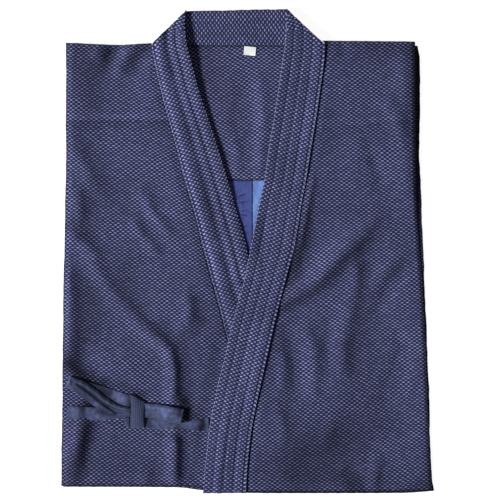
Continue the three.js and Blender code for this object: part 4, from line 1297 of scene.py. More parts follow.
@dataclass
class FoldedLayers:
    """The back and the two sleeves folded behind it."""

    room: Workroom
    back_low_y: float = -408.0
    back_high_y: float = 352.0
    sleeve_low_y: float = 112.0
    sleeve_high_y: float = 347.0
    sleeve_meet_x: float = -16.0
    back_cloth: float = 1.9
    sleeve_lift: float = 0.05

    def _back_plan(self, u: Array, v: Array) -> tuple[Array, Array]:
        """Outline of the back.

        Args:
            u: Shares across.
            v: Shares along.

        Returns:
            The places across and along.
        """
        nominal = mix(self.back_low_y, self.back_high_y, v)
        left = LEFT_SIDE.at(nominal) + 2.6 + 0.8 * wander(nominal, 0.4, 160.0)
        right = RIGHT_BACK_SIDE.at(nominal) + 0.7 * wander(nominal, 1.9, 120.0) - 0.7
        x = mix(left, right, u)
        return x, mix(BACK_HEM.at(x), BACK_TOP.at(x), v)

    def build(self) -> None:
        """Builds the back and both folded sleeves."""
        def back_bottom(x: Array, y: Array, u: Array, v: Array) -> Array:
            """Underside of the back, lying over the sleeves and down to the surface."""
            return Drape.stack(x, y) - self.back_cloth - 0.1

        def back_thick(x: Array, y: Array, u: Array, v: Array) -> Array:
            """Even cloth."""
            return np.full_like(x, self.back_cloth)

        def back_shade(x: Array, y: Array, u: Array, v: Array) -> Array:
            """Painted shadow where it shows beyond the upper front's side, deeper higher up."""
            beyond = smooth_step(-6, -1, x - RIGHT_FRONT_SIDE.at(y))
            return 1.0 - mix(0.55, 0.8, smooth_step(0, 90, y)) * beyond

        back = ClothPiece("back_panel", 150, 170, self._back_plan, back_bottom, back_thick, Rim(1.0, 8),
                          slanted_weave(-1.5), shade=back_shade, fray=0.25).build()
        self.room.attach(back, Finish.BACK, "folded_sashiko", "folded_back_and_sleeves")
        self._sleeve("sleeve_left", LEFT_SIDE, self.sleeve_meet_x, 1.0)
        self._sleeve("sleeve_right", RIGHT_BACK_SIDE, self.sleeve_meet_x + 1.0, -1.0)

    def _sleeve(self, name: str, out_line: Line, meet: float, sign: float) -> None:
        """Builds one sleeve, folded double behind the back.

        Args:
            name: The piece's name.
            out_line: The side edge where it turns under.
            meet: Where its cuff ends, near the middle.
            sign: 1 on the left and -1 on the right.
        """
        def plan(u: Array, v: Array) -> tuple[Array, Array]:
            """Outline of the folded sleeve.

            Args:
                u: Shares across.
                v: Shares along.

            Returns:
                The places across and along.
            """
            y = mix(self.sleeve_low_y, self.sleeve_high_y, v)
            side = out_line.at(y) + sign * (3.4 + 1.1 * wander(y, 2.0 + sign, 90.0))
            ends = (side, np.full_like(side, meet))[::int(sign)]
            x = mix(ends[0], ends[1], u)
            return x, y + 1.5 * wander(x, 0.8, 140.0) * (1 - v)

        def thick(x: Array, y: Array, u: Array, v: Array) -> Array:
            """Two layers, thinner where the stack runs down."""
            return Drape.stack(x, y) - self.back_cloth - 0.5

        sleeve = ClothPiece(name, 60, 60, plan, lambda x, y, u, v: np.full_like(x, self.sleeve_lift), thick,
                            FOLDED_RIM, slanted_weave(0.5), fray=0.3).build()
        self.room.attach(sleeve, Finish.BACK, "folded_sashiko")


@dataclass
class Fronts:
    """The two fronts, the viewer's right one over the left one."""

    room: Workroom
    across: int = 120
    along: int = 290
    left_reach: tuple[float, float] = (-400.0, 353.0)
    right_reach: tuple[float, float] = (-411.0, 356.0)
    left_yoke_seam: Line = Line(((-310, 221), (-170, 221)))
    right_yoke_seam: Line = Line(((100, 206), (284, 221)))

    def left_plan(self, u: Array, v: Array) -> tuple[Array, Array]:
        """Outline of the lower front.

        Args:
            u: Shares across.
            v: Shares along.

        Returns:
            The places across and along.
        """
        nominal = mix(*self.left_reach, v)
        x = mix(LEFT_SIDE.at(nominal) + 0.5 * wander(nominal, 0.9, 140.0), LEFT_FRONT_SEAM.at(nominal), u)
        return x, mix(LEFT_HEM.at(x), LEFT_SHOULDER.at(x), v)

    def right_plan(self, u: Array, v: Array) -> tuple[Array, Array]:
        """Outline of the upper front.

        Args:
            u: Shares across.
            v: Shares along.

        Returns:
            The places across and along.
        """
        nominal = mix(*self.right_reach, v)
        left = UPPER_BAND.edge_line(Edge.RIGHT).at(nominal) + REST_GAP
        x = mix(left, RIGHT_FRONT_SIDE.at(nominal) + 0.5 * wander(nominal, 2.9, 150.0), u)
        return x, mix(RIGHT_HEM.at(x), RIGHT_SHOULDER.at(x), v)

    def _front(self, name: str, plan: Outline, bottom: HeightMap, seam: Line, hem: Line, drawn: float,
               tilt: float) -> ClothPiece:
        """Describes one front, drawn in along its yoke seam.

        Args:
            name: The piece's name.
            plan: Its outline.
            bottom: Its inner face.
            seam: The yoke seam as a line of y over x.
            hem: The hem as a line of y over x.
            drawn: How strongly the seam draws the cloth in, up to 1.
            tilt: How far its weave slopes down to the right, in degrees.

        Returns:
            The front, ready to build.
        """
        def thick(x: Array, y: Array, u: Array, v: Array) -> Array:
            """Cloth drawn in at the seam, with a soft swell on both sides.

            Args:
                x, y: Places on the jacket.
                u, v: Shares of the piece.

            Returns:
                The thickness.
            """
            away = y - seam.at(x)
            swell = 0.5 * dip(away, 8.0, 6.0) + 0.2 * dip(away, -8.0, 6.0)
            return FRONT_CLOTH + drawn * (swell - 0.9 * dip(away, 0.0, 2.4))

        def shade(x: Array, y: Array, u: Array, v: Array) -> Array:
            """Painted shade in the seam groove, at the hem, at the rolled right side and in the hollows;
            painted highlights above the seam and on the crests.

            Args:
                x, y: Places on the jacket.
                u, v: Shares of the piece.

            Returns:
                The brightness.
            """
            away = y - seam.at(x)
            # Painted highlight above the seam, painted shade in the seam groove and below it
            line_light_and_shade = 0.2 * dip(away, 8.5, 5.5) - 0.4 * dip(away, -0.6, 1.7) - 0.12 * dip(away, -9.0, 6.0)
            line_light_and_shade = 1.0 + drawn * line_light_and_shade
            # Painted shade where the front rolls down at its right side, weaker toward the hem
            side = smooth_step(8, 0, RIGHT_FRONT_SIDE.at(y) - x) * mix(0.55, 1.0, smooth_step(60, 100, y))
            # Painted shade along the turned hem, stronger on the right
            turned = smooth_step(6.5, 1.5, y - hem.at(x)) * mix(0.4, 0.8, smooth_step(-60, 0, x))
            # Painted shade in the hollows and painted highlights on the crests
            painted_fold_light = (1.0 + folds_height(FRONT_PAINTED_LIGHT, x, y)) * line_light_and_shade
            return np.clip(painted_fold_light * (1.0 - 0.75 * side) * (1.0 - turned), 0.12, 1.7)

        return ClothPiece(name, self.across, self.along, plan, lambda x, y, u, v: bottom(x, y), thick,
                          CLOTH_RIM, slanted_weave(tilt), shade=shade, rim_shade=0.5, fray=0.2)

    def build(self) -> None:
        """Builds both fronts."""
        lower = self._front("lower_front", self.left_plan, Drape.left_bottom, self.left_yoke_seam,
                            LEFT_HEM, drawn=1.0, tilt=2.6)
        upper = self._front("upper_front", self.right_plan, Drape.right_bottom, self.right_yoke_seam,
                            RIGHT_HEM, drawn=0.4, tilt=-2.8)
        left = self.room.attach(lower.build(), Finish.LEFT_FRONT, "front_sashiko_lower", "front_lower")
        right = self.room.attach(upper.build(), Finish.RIGHT_FRONT, "front_sashiko_upper", "front_upper")


@dataclass
class BackInside:
    """What shows of the back through the neck: yoke, two linings and the size label."""

    room: Workroom
    reach_under: float = 22.0

    def _strip(self, name: str, cells: tuple[int, int], low: float, high: float, left: SideLine,
               right: SideLine, thick: Surface, shade: Surface, tilt: float) -> bpy.types.Object:
        """Builds one piece of the back between two side lines.

        Args:
            name: The piece's name.
            cells: Its grid across and along.
            low: Its lower edge.
            high: Its upper edge.
            left: The left side as x over y.
            right: The right side as x over y.
            thick: Its thickness.
            shade: Its brightness.
            tilt: The slope of its weave in degrees.

        Returns:
            The new object.
        """
        def plan(u: Array, v: Array) -> tuple[Array, Array]:
            """Outline between the side lines."""
            y = mix(low, high, v)
            return mix(left(y), right(y), u), y

        def rest(x: Array, y: Array, u: Array, v: Array) -> Array:
            """Lies on the folded layers."""
            return Drape.stack(x, y) + SEAM_GAP

        return ClothPiece(name, *cells, plan, rest, thick, CLOTH_RIM, slanted_weave(tilt),
                          shade=shade).build()

    def build(self) -> None:
        """Builds the yoke, both linings and the label."""
        lower_edge = LOWER_BAND.edge_line(Edge.RIGHT)
        upper_edge = UPPER_BAND.edge_line(Edge.LEFT)

        def hidden_left(y: Array) -> Array:
            """Side line under the lower band."""
            return lower_edge.at(y) - self.reach_under

        def hidden_right(y: Array) -> Array:
            """Side line under the upper band."""
            return upper_edge.at(y) + self.reach_under

        def yoke_thick(x: Array, y: Array, u: Array, v: Array) -> Array:
            """Yoke cloth with soft folds, flat at its edges.

            Args:
                x, y: Places on the jacket.
                u, v: Shares of the piece.

            Returns:
                The thickness.
            """
            calm = smooth_step(0, 0.06, v) * smooth_step(1, 0.92, v)
            waves = 0.9 + folds_height(YOKE_FOLDS, x, y) + Drape.ripple(x, y, 7.0) * 0.6
            return YOKE_CLOTH + 0.35 + np.maximum(waves * calm, -0.6)

        def yoke_shade(x: Array, y: Array, u: Array, v: Array) -> Array:
            """Painted shade along the neck seam and in the hollows, painted highlights on the ridges."""
            return (1.0 - 0.16 * dip(y, NECK_SEAM_Y, 2.5)) * (1.0 + folds_height(YOKE_PAINTED_LIGHT, x, y))

        def puckers(x: Array, y: Array) -> Array:
            """Small wrinkles across the lining.

            Args:
                x: Places across.
                y: Places along.

            Returns:
                Their height at each place.
            """
            lines = 0.9 * dip(y - 0.1 * x + 0.012 * x * x, 101, 1.7) + 0.8 * dip(y - 0.16 * x, 88, 1.5)
            lines = lines + 0.9 * dip(y + 0.25 * x, 63, 1.6) + 0.6 * dip(y + 0.4 * x, 34, 2.2)
            lines = lines + 0.6 * dip(y - 0.3 * x, 74, 1.3) + 0.5 * dip(y + 0.1 * x, 46, 1.4)
            return lines * (0.75 + 0.4 * np.sin(0.31 * x + 0.05 * y))

        def navy_thick(x: Array, y: Array, u: Array, v: Array) -> Array:
            """Lining with small puckers and a topstitched turned edge at its right.

            Args:
                x, y: Places on the jacket.
                u, v: Shares of the piece.

            Returns:
                The thickness.
            """
            upright = 0.5 * dip(x - 0.16 * y, -31, 1.7) * smooth_step(30, 60, y)
            turned = 0.55 * smooth_step(-0.6, 0.8, x - 1.0) - 0.5 * dip(x, 2.4, 0.6)
            return LINING_CLOTH + 0.3 + (0.75 * puckers(x, y) + upright) * smooth_step(2, -6, x) + turned

        def navy_shade(x: Array, y: Array, u: Array, v: Array) -> Array:
            """Stitch line, a painted highlight on the turned edge, painted shade in the split, painted
            shade and highlights along the puckers, painted shade beside the upright crease, a darker
            streak, random patches, the painted shadow under the yoke and darker towards the bottom.

            Args:
                x, y: Places on the jacket.
                u, v: Shares of the piece.

            Returns:
                The brightness.
            """
            # Stitch line, painted highlight on the turned edge and painted shade in the split
            lines = 1.0 - 0.3 * dip(x, 1.7, 0.8) + 0.1 * dip(x, 4.4, 1.0)
            lines = lines - 0.45 * dip(x, LINING_SPLIT_X, 0.8)
            cloud = 0.1 * wander(x * 1.4 + y, 1.1, 46.0) - 0.06 * wander(y - x, 2.3, 17.0)
            # Painted highlight and shade along the puckers
            cloud = cloud + (0.42 * puckers(x, y) - 0.74 * puckers(x, y + 2.4)) * smooth_step(2, -4, x)
            # Painted shade beside the upright crease
            cloud = cloud - 0.35 * dip(x - 0.16 * y, -33.5, 1.5) * smooth_step(30, 60, y)
            cloud = cloud - 0.25 * dip(x - 0.02 * y, -10, 2.0) * smooth_step(120, 60, y)
            # Painted shadow under the yoke's edge
            shadow_under_yoke = 1.0 - 0.6 * dip(y, YOKE_LOWER_Y, 2.4)
            return (lines + cloud) * shadow_under_yoke * mix(0.75, 1.05, smooth_step(-10, 60, y))

        def sky_shade(x: Array, y: Array, u: Array, v: Array) -> Array:
            """Painted shadow under the yoke and painted shade in the split, with random soft patches and a
            paler diagonal streak between.

            Args:
                x, y: Places on the jacket.
                u, v: Shares of the piece.

            Returns:
                The brightness.
            """
            patch = 0.14 * wander(y + 2 * x, 0.4, 22.0) + 0.08 * wander(y - x, 3.0, 9.0)
            patch = patch + 0.3 * dip(x - 0.3 * y, -12, 5.0)
            # Painted shadow under the yoke's edge
            shadow_under_yoke = 1.0 - 0.4 * dip(y, YOKE_LOWER_Y, 1.6)
            return (1.0 + patch - 0.55 * dip(x, LINING_SPLIT_X, 1.1)) * shadow_under_yoke

        yoke = self._strip("yoke", (84, 90), YOKE_LOWER_Y, NECK_SEAM_Y - SEAM_GAP, hidden_left,
                           hidden_right, yoke_thick, yoke_shade, -3.0)
        self.room.attach(yoke, Finish.YOKE, "yoke_sashiko", "back_yoke_inside")
        top = YOKE_LOWER_Y - SEAM_GAP
        navy = self._strip("navy_lining", (70, 110), LINING_END_Y, top, hidden_left,
                           lambda y: np.full_like(y, LINING_SPLIT_X), navy_thick, navy_shade, 0.0)
        self.room.attach(navy, Finish.NAVY, "navy_lining", "lining_navy")
        sky = self._strip("light_blue_lining", (40, 110), LINING_END_Y, top,
                          lambda y: np.full_like(y, LINING_SPLIT_X + SEAM_GAP), hidden_right,
                          lambda x, y, u, v: np.full_like(x, LINING_CLOTH * 0.9), sky_shade, 0.0)
        self.room.attach(sky, Finish.SKY, "light_blue_lining", "lining_light_blue")
        self._label()

    def _label(self) -> None:
        """Builds the bare size label, its free corners a little lifted."""
        wide, high, turn, centre_x, centre_y = 20.4, 15.0, -0.075, 3.2, 340.2

        def plan(u: Array, v: Array) -> tuple[Array, Array]:
            """Outline of the label.

            Args:
                u: Shares across.
                v: Shares along.

            Returns:
                The places across and along.
            """
            across, up = (u - 0.5) * wide, (v - 0.5) * high
            x = centre_x + across * math.cos(turn) - up * math.sin(turn)
            return x, centre_y + across * math.sin(turn) + up * math.cos(turn)

        def bottom(x: Array, y: Array, u: Array, v: Array) -> Array:
            """Lies on the yoke with its free lower corners curling up."""
            curl = 0.9 * (1 - v) ** 3 * (np.abs(u - 0.5) * 2) ** 2
            return Drape.stack(x, y) + 2 * SEAM_GAP + YOKE_CLOTH + 1.3 + curl

        def shade(x: Array, y: Array, u: Array, v: Array) -> Array:
            """Two faint rows of sewing along the top edge."""
            return 1.0 - 0.12 * dip(v, 0.9, 0.03) - 0.1 * dip(v, 0.8, 0.03)

        label = ClothPiece("neck_label", 30, 24, plan, bottom,
                           lambda x, y, u, v: np.full_like(x, LABEL_CLOTH), LABEL_RIM, slanted_weave(0.0),
                           shade=shade, rim_shade=0.85).build()
        self.room.attach(label, Finish.LABEL, "label_cloth", "size_label")


@dataclass
class CollarStrip:
    """The quilted strip: the run on each front and the run behind the neck."""

    room: Workroom

    def _band(self, name: str, cells: tuple[int, int], course: BandCourse, bottom: Surface, drop: Line,
              turn: Callable[[Array, Array, Array], Array]) -> ClothPiece:
        """Describes one front run of the strip.

        Args:
            name: The piece's name.
            cells: Its grid across and along.
            course: Where it runs.
            bottom: Its underside.
            drop: How far it drops below its crests.
            turn: Its extra thickness where it folds over at the end.

        Returns:
            The run, ready to build.
        """
        def thick(x: Array, y: Array, u: Array, v: Array) -> Array:
            """Quilted ridges that vary a little along the strip.

            Args:
                x, y: Places on the jacket.
                u, v: Shares of the piece.

            Returns:
                The thickness.
            """
            along = course.cloth_place(x, y)[1]
            pulled = 1.0 + 0.22 * wander(along + 30.0 * u, 0.7, 130.0)
            uneven = 0.15 * wander(along, 2.0 + 3.0 * u.mean(), 36.0)
            return BAND_CLOTH - drop.at(u) * pulled + uneven + turn(y, u, v)

        def weave(x: Array, y: Array, u: Array, v: Array) -> tuple[Array, Array]:
            """Gives the weave place along the strip."""
            across, along = course.cloth_place(x, y)
            return across, along + 1.2 * wander(across, 0.9, 60.0)

        def shade(x: Array, y: Array, u: Array, v: Array) -> Array:
            """Painted shade in the grooves and hollows, painted highlights on the crests and along the lit
            outer strip.
            """
            groove = 0.16 * np.clip(drop.at(u) / 2.4, 0.0, 1.0) ** 2
            return (1.0 - groove) * np.clip(1.0 + folds_height(BAND_PAINTED_LIGHT, x, y), 0.3, 1.7)

        return ClothPiece(name, *cells, course.plan, bottom, thick, BAND_RIM, weave, shade=shade,
                          rim_shade=0.85, fray=0.5)

    def build(self) -> None:
        """Builds the three runs and their edge stitching."""
        lower = self._band("collar_lower", (90, 200), LOWER_BAND, Drape.lower_band, LOWER_BAND_DROP,
                           Drape.lower_turn)
        upper = self._band("collar_upper", (110, 260), UPPER_BAND, Drape.upper_band, UPPER_BAND_DROP,
                           Drape.no_turn)
        low = self.room.attach(lower.build(), Finish.BAND, "collar_sashiko_lower", "collar_band_lower")
        high = self.room.attach(upper.build(), Finish.BAND, "collar_sashiko_upper", "collar_band_upper")
        self._neck_run()
        self._stitching(lower, upper)

    def _neck_run(self) -> None:
        """Builds the run behind the neck."""
        def plan(u: Array, v: Array) -> tuple[Array, Array]:
            """Outline of the neck run, cut on the slant where it turns into the fronts."""
            top = mix(408.0, 411.6, u) + 0.5 * wander(u * 180.0, 0.5, 100.0)
            return mix(mix(-160.0, 126.6, u), mix(-105.0, 66.0, u), v), mix(NECK_SEAM_Y, top, v)

        def bottom(x: Array, y: Array, u: Array, v: Array) -> Array:
            """Lies on the folded layers."""
            return Drape.stack(x, y) + REST_GAP

        def thick(x: Array, y: Array, u: Array, v: Array) -> Array:
            """Ridges along the neck run, pressed at the neck seam."""
            return NECK_BAND_CLOTH - NECK_BAND_DROP.at(v) + 0.3 * wander(x + 20.0 * v, 0.8, 80.0)

        def weave(x: Array, y: Array, u: Array, v: Array) -> tuple[Array, Array]:
            """Gives the weave place, turned a quarter."""
            return (v - 0.5) * 61.0, x + 1.2 * wander(y, 0.2, 70.0)

        def shade(x: Array, y: Array, u: Array, v: Array) -> Array:
            """Painted shade in the grooves and at the seam."""
            return 1.0 - 0.2 * np.clip(NECK_BAND_DROP.at(v) / 1.7, 0.0, 1.0)

        neck = ClothPiece("collar_neck", 130, 50, plan, bottom, thick, BAND_RIM, weave, shade=shade,
                          rim_shade=0.7, fray=0.3).build()
        self.room.attach(neck, Finish.BAND, "collar_sashiko_neck", "collar_back_neck")

    def _stitching(self, lower: ClothPiece, upper: ClothPiece) -> None:
        """Lays pale beads along the edges of both front runs: the pale edge grains, with a painted
        highlight where the raised edges catch the light.

        Args:
            lower: The run on the lower front.
            upper: The run on the upper front.
        """
        # Each seam: its share across the band, then where it starts and ends along it
        upper_seams = ((0.972, 0.0, 0.955), (0.01, 0.0, 0.985))
        lower_seams = ((0.04, 0.1, 0.94), (0.99, 0.1, 0.985))
        samples = 1100
        for name, band, slot, seams in (
            ("upper_edge_stitches", upper, "collar_sashiko_upper", upper_seams),
            ("lower_edge_stitches", lower, "collar_sashiko_lower", lower_seams),
        ):
            stitches = StitchRun(name, seed=len(name))
            for share, start, end in seams:
                v = np.linspace(start, end, samples)
                stitches.follow(band.face_point(np.full_like(v, share), v))
            self.room.attach(stitches.build(), Finish.THREAD, slot)


@dataclass(frozen=True)
class TapeStation:
    """One section of a tape: place, rise off the front, width, lengthwise crease and sideways tilt."""

    x: float
    y: float
    rise: float
    width: float
    crease: float = 0.0
    tilt: float = 0.0


@dataclass
class TapeSweep:
    """A flat tape swept through stations that keep one width direction."""

    name: str
    stations: Sequence[TapeStation]
    width_angle: float
    steps: int = 90
    across: int = 26
    cup: float = 0.4
    crumple: float = 0.45
    # Overall painted brightness of the tape: paler for the tail on top, painted shade for the side and band
    # tapes below
    painted_light_and_marks: float = 1.0
    seed: float = 0.0

    def _frames(self) -> tuple[dict[str, Array], Array, Array, Array, Array]:
        """Works out the stations in between, the middle line, its side and normal, and its length.

        Returns:
            The stations' columns, then one row per section of middle, side, normal and length.
        """
        share = np.linspace(0.0, 1.0, len(self.stations))
        fine = np.linspace(0.0, 1.0, self.steps + 1)
        columns = {
            key: Line(tuple((s, getattr(row, key)) for s, row in zip(share, self.stations))).at(fine)
            for key in ("x", "y", "rise", "width", "crease", "tilt")
        }
        ground = Drape.left_top(columns["x"], columns["y"])
        centre = np.stack([columns["x"], columns["y"], ground + columns["rise"]], axis=-1)
        along = np.gradient(centre, axis=0)
        along /= np.linalg.norm(along, axis=1)[:, None]
        flat = np.array([math.cos(self.width_angle), math.sin(self.width_angle), 0.0])
        side = flat - along * (along @ flat)[:, None]
        side /= np.linalg.norm(side, axis=1)[:, None]
        normal = np.cross(along, side)
        lean = columns["tilt"][:, None]
        side, normal = (side * np.cos(lean) + normal * np.sin(lean),
                        normal * np.cos(lean) - side * np.sin(lean))
        length = np.concatenate([[0.0], np.cumsum(np.linalg.norm(np.diff(centre, axis=0), axis=1))])
        return columns, centre, side, normal, length

    def build(self) -> bpy.types.Object:
        """Builds the closed tape, its outer face on the side of its normal.

        Returns:
            The new object.
        """
        columns, centre, side, normal, length = self._frames()
        turn = np.linspace(0.0, math.pi, self.across + 1)
        # Places across the tape from -0.5 to 0.5, and its half thickness there
        place = -0.5 * np.cos(turn)
        half = 0.5 * TAPE * np.sin(turn) ** 0.4
        count = 2 * self.across
        points, maps, painted_lights_and_marks = [], [], []
        for k, width in enumerate(columns["width"]):
            pleat = 1.7 * dip(place, 0.31, 0.1) - 1.3 * dip(place, 0.1, 0.05)
            crumple = self.crumple * wander(length[k] + 6.0 * place, self.seed, 34.0)
            crumple = crumple * np.sin(7.0 * place + length[k] / 9.0 + self.seed)
            spot = centre[k] + (place * width)[:, None] * side[k]
            # Wrinkles that raise the tape, with painted shade and highlights at the same places
            patch = folds_height(TAPE_WRINKLES_AND_PAINTED_LIGHT, spot[:, 0], spot[:, 1])
            bow = self.cup * (1.0 - 4.0 * place**2) + columns["crease"][k] * pleat + crumple + 1.4 * patch
            inset = (0.5 - np.abs(place)) * width
            edge = smooth_step(0.2, 1.0, inset)
            # Painted highlight along both edges and painted shade in a line just inside
            line_light_and_shade = mix(1.35, 1.0, edge) - 0.22 * dip(inset, 2.0, 0.7)
            # Painted shade along the crease lines of a folded tape
            ridge = 0.1 * dip(place, 0.3, 0.07) - 0.6 * dip(place, 0.1, 0.045)
            ridge = ridge - 0.4 * dip(place, 0.45, 0.04)
            painted_light_and_marks = (line_light_and_shade + columns["crease"][k] * ridge) * (1.0 + patch) ** 1.7 * self.painted_light_and_marks
            for sign, keep in ((1.0, slice(None)), (-1.0, slice(-2, 0, -1))):
                middle = centre[k] + (place[keep] * width)[:, None] * side[k]
                points.append(middle + (bow + sign * half)[keep][:, None] * normal[k])
                maps.append(np.stack([place[keep] * width, np.full_like(place[keep], length[k])], axis=-1))
                painted_lights_and_marks.append(painted_light_and_marks[keep])
        ring = np.arange(count)
        faces = []
        for k in range(self.steps):
            a, b = k * count + ring, k * count + np.roll(ring, -1)
            faces.append(np.stack([a, b, b + count, a + count], axis=-1))
        mirror = (count - np.arange(self.across + 1)) % count
        for start, order in ((0, 1), (self.steps * count, -1)):
            near, far = start + np.arange(self.across), start + np.arange(1, self.across + 1)
            cap = np.stack([near, start + mirror[:-1], start + mirror[1:], far], axis=-1)
            faces.append(cap[:, ::order])
        return make_mesh(self.name, np.concatenate(points), np.concatenate(faces), np.concatenate(maps),
                         np.concatenate(painted_lights_and_marks))


@dataclass
class Bow:
    """The tied bow: side tape, band tape, loop, tail and knot."""

    room: Workroom
    wrap_height: float = 9.6
    wrap_folds: float = 6.2
    turn_height: float = 6.6

    def build(self) -> None:
        """Builds the five stretches of tape."""
        upright = math.pi / 2
        # Overall painted brightness: side and band tapes in painted shade, the tail paler on top
        side = TapeSweep("side_tape", (
            TapeStation(-306, -274.1, 1.2, 22.4), TapeStation(-288, -275, 1.6, 23.2),
            TapeStation(-268, -276, 1.3, 22.4), TapeStation(-244, -277, 1.3, 19.6),
            TapeStation(-222, -277.4, 1.4, 13), TapeStation(-199, -277, 1.8, 8),
        ), upright, cup=0.3, painted_light_and_marks=0.95, seed=0.4)
        band = TapeSweep("band_tape", (
            TapeStation(-177, -291, 1.3, 18), TapeStation(-150, -293, 1.3, 19),
            TapeStation(-128, -294.4, 1.4, 16), TapeStation(-112, -295.8, 1.9, 11, 0.0, 0.45),
            TapeStation(-98, -295.8, 1.6, 15, 0.0, 0.2), TapeStation(-82, -295, 1.3, 21.5),
            TapeStation(-66.6, -294.6, 1.3, 23.4),
        ), upright, cup=0.3, painted_light_and_marks=0.92, seed=1.4)
        tail = TapeSweep("tail", (
            TapeStation(-177, -269.6, 4.4, 23.4), TapeStation(-160, -271.2, 4.6, 24.2, 0.4),
            TapeStation(-144, -273.6, 5.4, 24.6, 0.5), TapeStation(-127, -277.2, 7.4, 24.8, 0.3, -0.06),
            TapeStation(-111.4, -280.4, 9.6, 25, 0.0, -0.1),
        ), 1.42, cup=0.8, painted_light_and_marks=1.1, seed=2.4)
        loop = TapeSweep("loop", (
            TapeStation(-199, -256.5, 3.2, 22), TapeStation(-226, -248.4, 3.2, 23),
            TapeStation(-250, -239.6, 3.2, 22), TapeStation(-276, -230, 3.2, 19),
            TapeStation(-298, -222.2, 3.6, 18), TapeStation(-304.6, -221.4, 5.4, 20.5),
            TapeStation(-297, -224.2, 7.0, 18, 0.3), TapeStation(-282.3, -231.7, 7.5, 23.4, 1.0),
            TapeStation(-263.3, -245.2, 7.3, 24.4, 1.0), TapeStation(-243.2, -259.8, 6.9, 21.6, 1.0),
            TapeStation(-221.2, -268.8, 6.6, 15, 0.8), TapeStation(-199, -271.6, 6.2, 11, 0.5),
        ), 1.1, steps=170, cup=0.2, seed=3.4)
        for sweep, slot, node, flat, held in (
            (side, "side_tape", "tie_side_tape", (0.023, 0.107), "laid"),
            (band, "band_tape", "tie_band_tape", (0.023, 0.111), "laid"),
            (tail, "tail_tape", "tie_tail", (0.0245, 0.066), "laid"),
            (loop, "loop_tape", "tie_loop", (0.0215, 0.222), "folded"),
        ):
            tape = self.room.attach(sweep.build(), Finish.TAPE, slot, node)
        self._knot()

    def _knot(self) -> None:
        """Builds the wrap of the knot and the turn that shows below it on the left."""
        def bottom(x: Array, y: Array, u: Array, v: Array) -> Array:
            """Lies on the front."""
            return Drape.left_top(x, y) + REST_GAP

        def wrap_plan(u: Array, v: Array) -> tuple[Array, Array]:
            """Outline of the wrap, its top edge sloping down to the right.

            Args:
                u: Shares across.
                v: Shares along.

            Returns:
                The places across and along.
            """
            waist = 1.1 * np.sin(math.pi * v) ** 2
            x = mix(-200.4 + 0.8 * v + waist, -176.2 + 1.2 * v - waist, u)
            return x, mix(-300.0, mix(-242.6, -254.0, smooth_step(0, 1, u)), v)

        def wrap_thick(x: Array, y: Array, u: Array, v: Array) -> Array:
            """Rounded wrap with folds along it.

            Args:
                x, y: Places on the jacket.
                u, v: Shares of the piece.

            Returns:
                The thickness.
            """
            arch = 0.4 + 0.6 * np.sin(math.pi * v) ** 0.7
            crown = 0.74 + 0.26 * np.sin(math.pi * u) ** 0.7
            lean = 2.0 * math.pi * (u * self.wrap_folds + 0.25 * np.sin(3.0 * v))
            ribs = 0.13 * np.sin(lean) * smooth_step(0, 0.1, u) * smooth_step(1, 0.9, u)
            return self.wrap_height * arch * crown + ribs

        def wrap_weave(x: Array, y: Array, u: Array, v: Array) -> tuple[Array, Array]:
            """Gives the weave place on the wrap."""
            return u * 24.0, v * 60.0

        def wrap_shade(x: Array, y: Array, u: Array, v: Array) -> Array:
            """Painted shade between the folds of the wrap, with random paler and darker stretches."""
            lean = 2.0 * math.pi * (u * self.wrap_folds + 0.25 * np.sin(3.0 * v))
            return 1.0 + 0.05 * np.sin(lean) + 0.12 * wander(v * 60.0 + 9.0 * u, 0.6, 40.0)

        def turn_plan(u: Array, v: Array) -> tuple[Array, Array]:
            """Outline of the turn below."""
            bulge = 5.0 * np.sin(math.pi * v) ** 0.8
            return mix(-208.6 - bulge + 7.0 * (1 - v), -200.9, u), mix(-300.5, -281.0, v)

        def turn_thick(x: Array, y: Array, u: Array, v: Array) -> Array:
            """Rounded turn."""
            crown = 0.6 + 0.4 * np.sin(math.pi * (0.5 * u + 0.2))
            return self.turn_height * (0.45 + 0.55 * np.sin(math.pi * v)) * crown

        wrap = ClothPiece("knot_wrap", 60, 70, wrap_plan, bottom, wrap_thick, Rim(1.6, 10), wrap_weave,
                          shade=wrap_shade, rim_shade=0.95).build()
        turn = ClothPiece("knot_turn", 22, 30, turn_plan, bottom, turn_thick, Rim(0.9, 8), wrap_weave,
                          rim_shade=1.0).build()
        self.room.attach(wrap, Finish.KNOT, "knot_tape", "tie_knot")
        self.room.attach(turn, Finish.TAPE, "knot_tape")


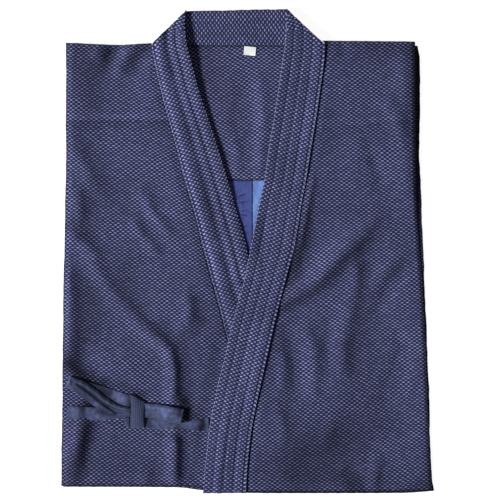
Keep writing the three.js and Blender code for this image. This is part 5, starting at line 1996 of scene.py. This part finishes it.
@dataclass
class Studio:
    """Plain white floor, soft light from the left and the camera above, sizes in metres."""

    centre: tuple[float, float] = (0.0034, 0.00255)
    frame_width: float = 0.85
    height: float = 2.7
    cloth_level: float = 0.008
    sensor: float = 36.0
    floor_size: float = 600.0
    floor_drop: float = 0.0004
    sight: float = 900.0

    def build(self) -> None:
        """Builds the floor, lights and camera."""
        self._floor()
        self._lights()
        data = bpy.data.cameras.new("camera")
        data.sensor_width = self.sensor
        data.lens = self.sensor * (self.height - self.cloth_level) / self.frame_width
        data.clip_end = self.sight
        camera = bpy.data.objects.new("camera", data)
        camera.location = (*self.centre, self.height)
        bpy.context.scene.collection.objects.link(camera)
        bpy.context.scene.camera = camera

    def _floor(self) -> None:
        """Builds the floor."""
        bpy.ops.object.select_all(action="DESELECT")
        bpy.ops.mesh.primitive_plane_add(size=self.floor_size, location=(0.0, 0.0, -self.floor_drop))
        floor = bpy.context.active_object
        floor.name = "floor"
        bpy.ops.object.transform_apply(location=True)
        material = bpy.data.materials.new("floor")
        material.use_nodes = True
        shader = material.node_tree.nodes["Principled BSDF"]
        shader.inputs["Base Color"].default_value = (0.3, 0.3, 0.3, 1.0)
        shader.inputs["Roughness"].default_value = 0.9
        shader.inputs["Specular IOR Level"].default_value = 0.0
        shader.inputs["Emission Color"].default_value = (1.0, 1.0, 1.0, 1.0)
        shader.inputs["Emission Strength"].default_value = 0.92
        floor.data.materials.append(material)

    def _lights(self) -> None:
        """Adds a soft key from the left, a weak fill and an even surround."""
        for name, place, size, power in (
            ("key", (-8.4, -2.6, 6.3), 2.6, 1980.0),
            ("fill", (1.2, 0.3, 3.6), 2.6, 14.0),
        ):
            data = bpy.data.lights.new(name, "AREA")
            data.shape = "DISK"
            data.size = size
            data.energy = power
            light = bpy.data.objects.new(name, data)
            light.location = place
            light.rotation_euler = (
                math.atan2(math.hypot(place[0], place[1]), place[2]), 0.0, math.atan2(place[0], -place[1]),
            )
            bpy.context.scene.collection.objects.link(light)
        world = bpy.data.worlds.new("surround")
        world.use_nodes = True
        world.node_tree.nodes["Background"].inputs["Color"].default_value = (1.0, 1.0, 1.0, 1.0)
        world.node_tree.nodes["Background"].inputs["Strength"].default_value = 0.05
        bpy.context.scene.world = world
        bpy.context.scene.view_settings.view_transform = "Standard"


def main() -> None:
    """Builds every piece in order and reports it."""
    logging.basicConfig(level=logging.INFO, format="%(name)s %(message)s")
    Studio().build()
    room = Workroom()
    FoldedLayers(room).build()
    BackInside(room).build()
    Fronts(room).build()
    CollarStrip(room).build()
    Bow(room).build()


if __name__ == "__main__":
    main()
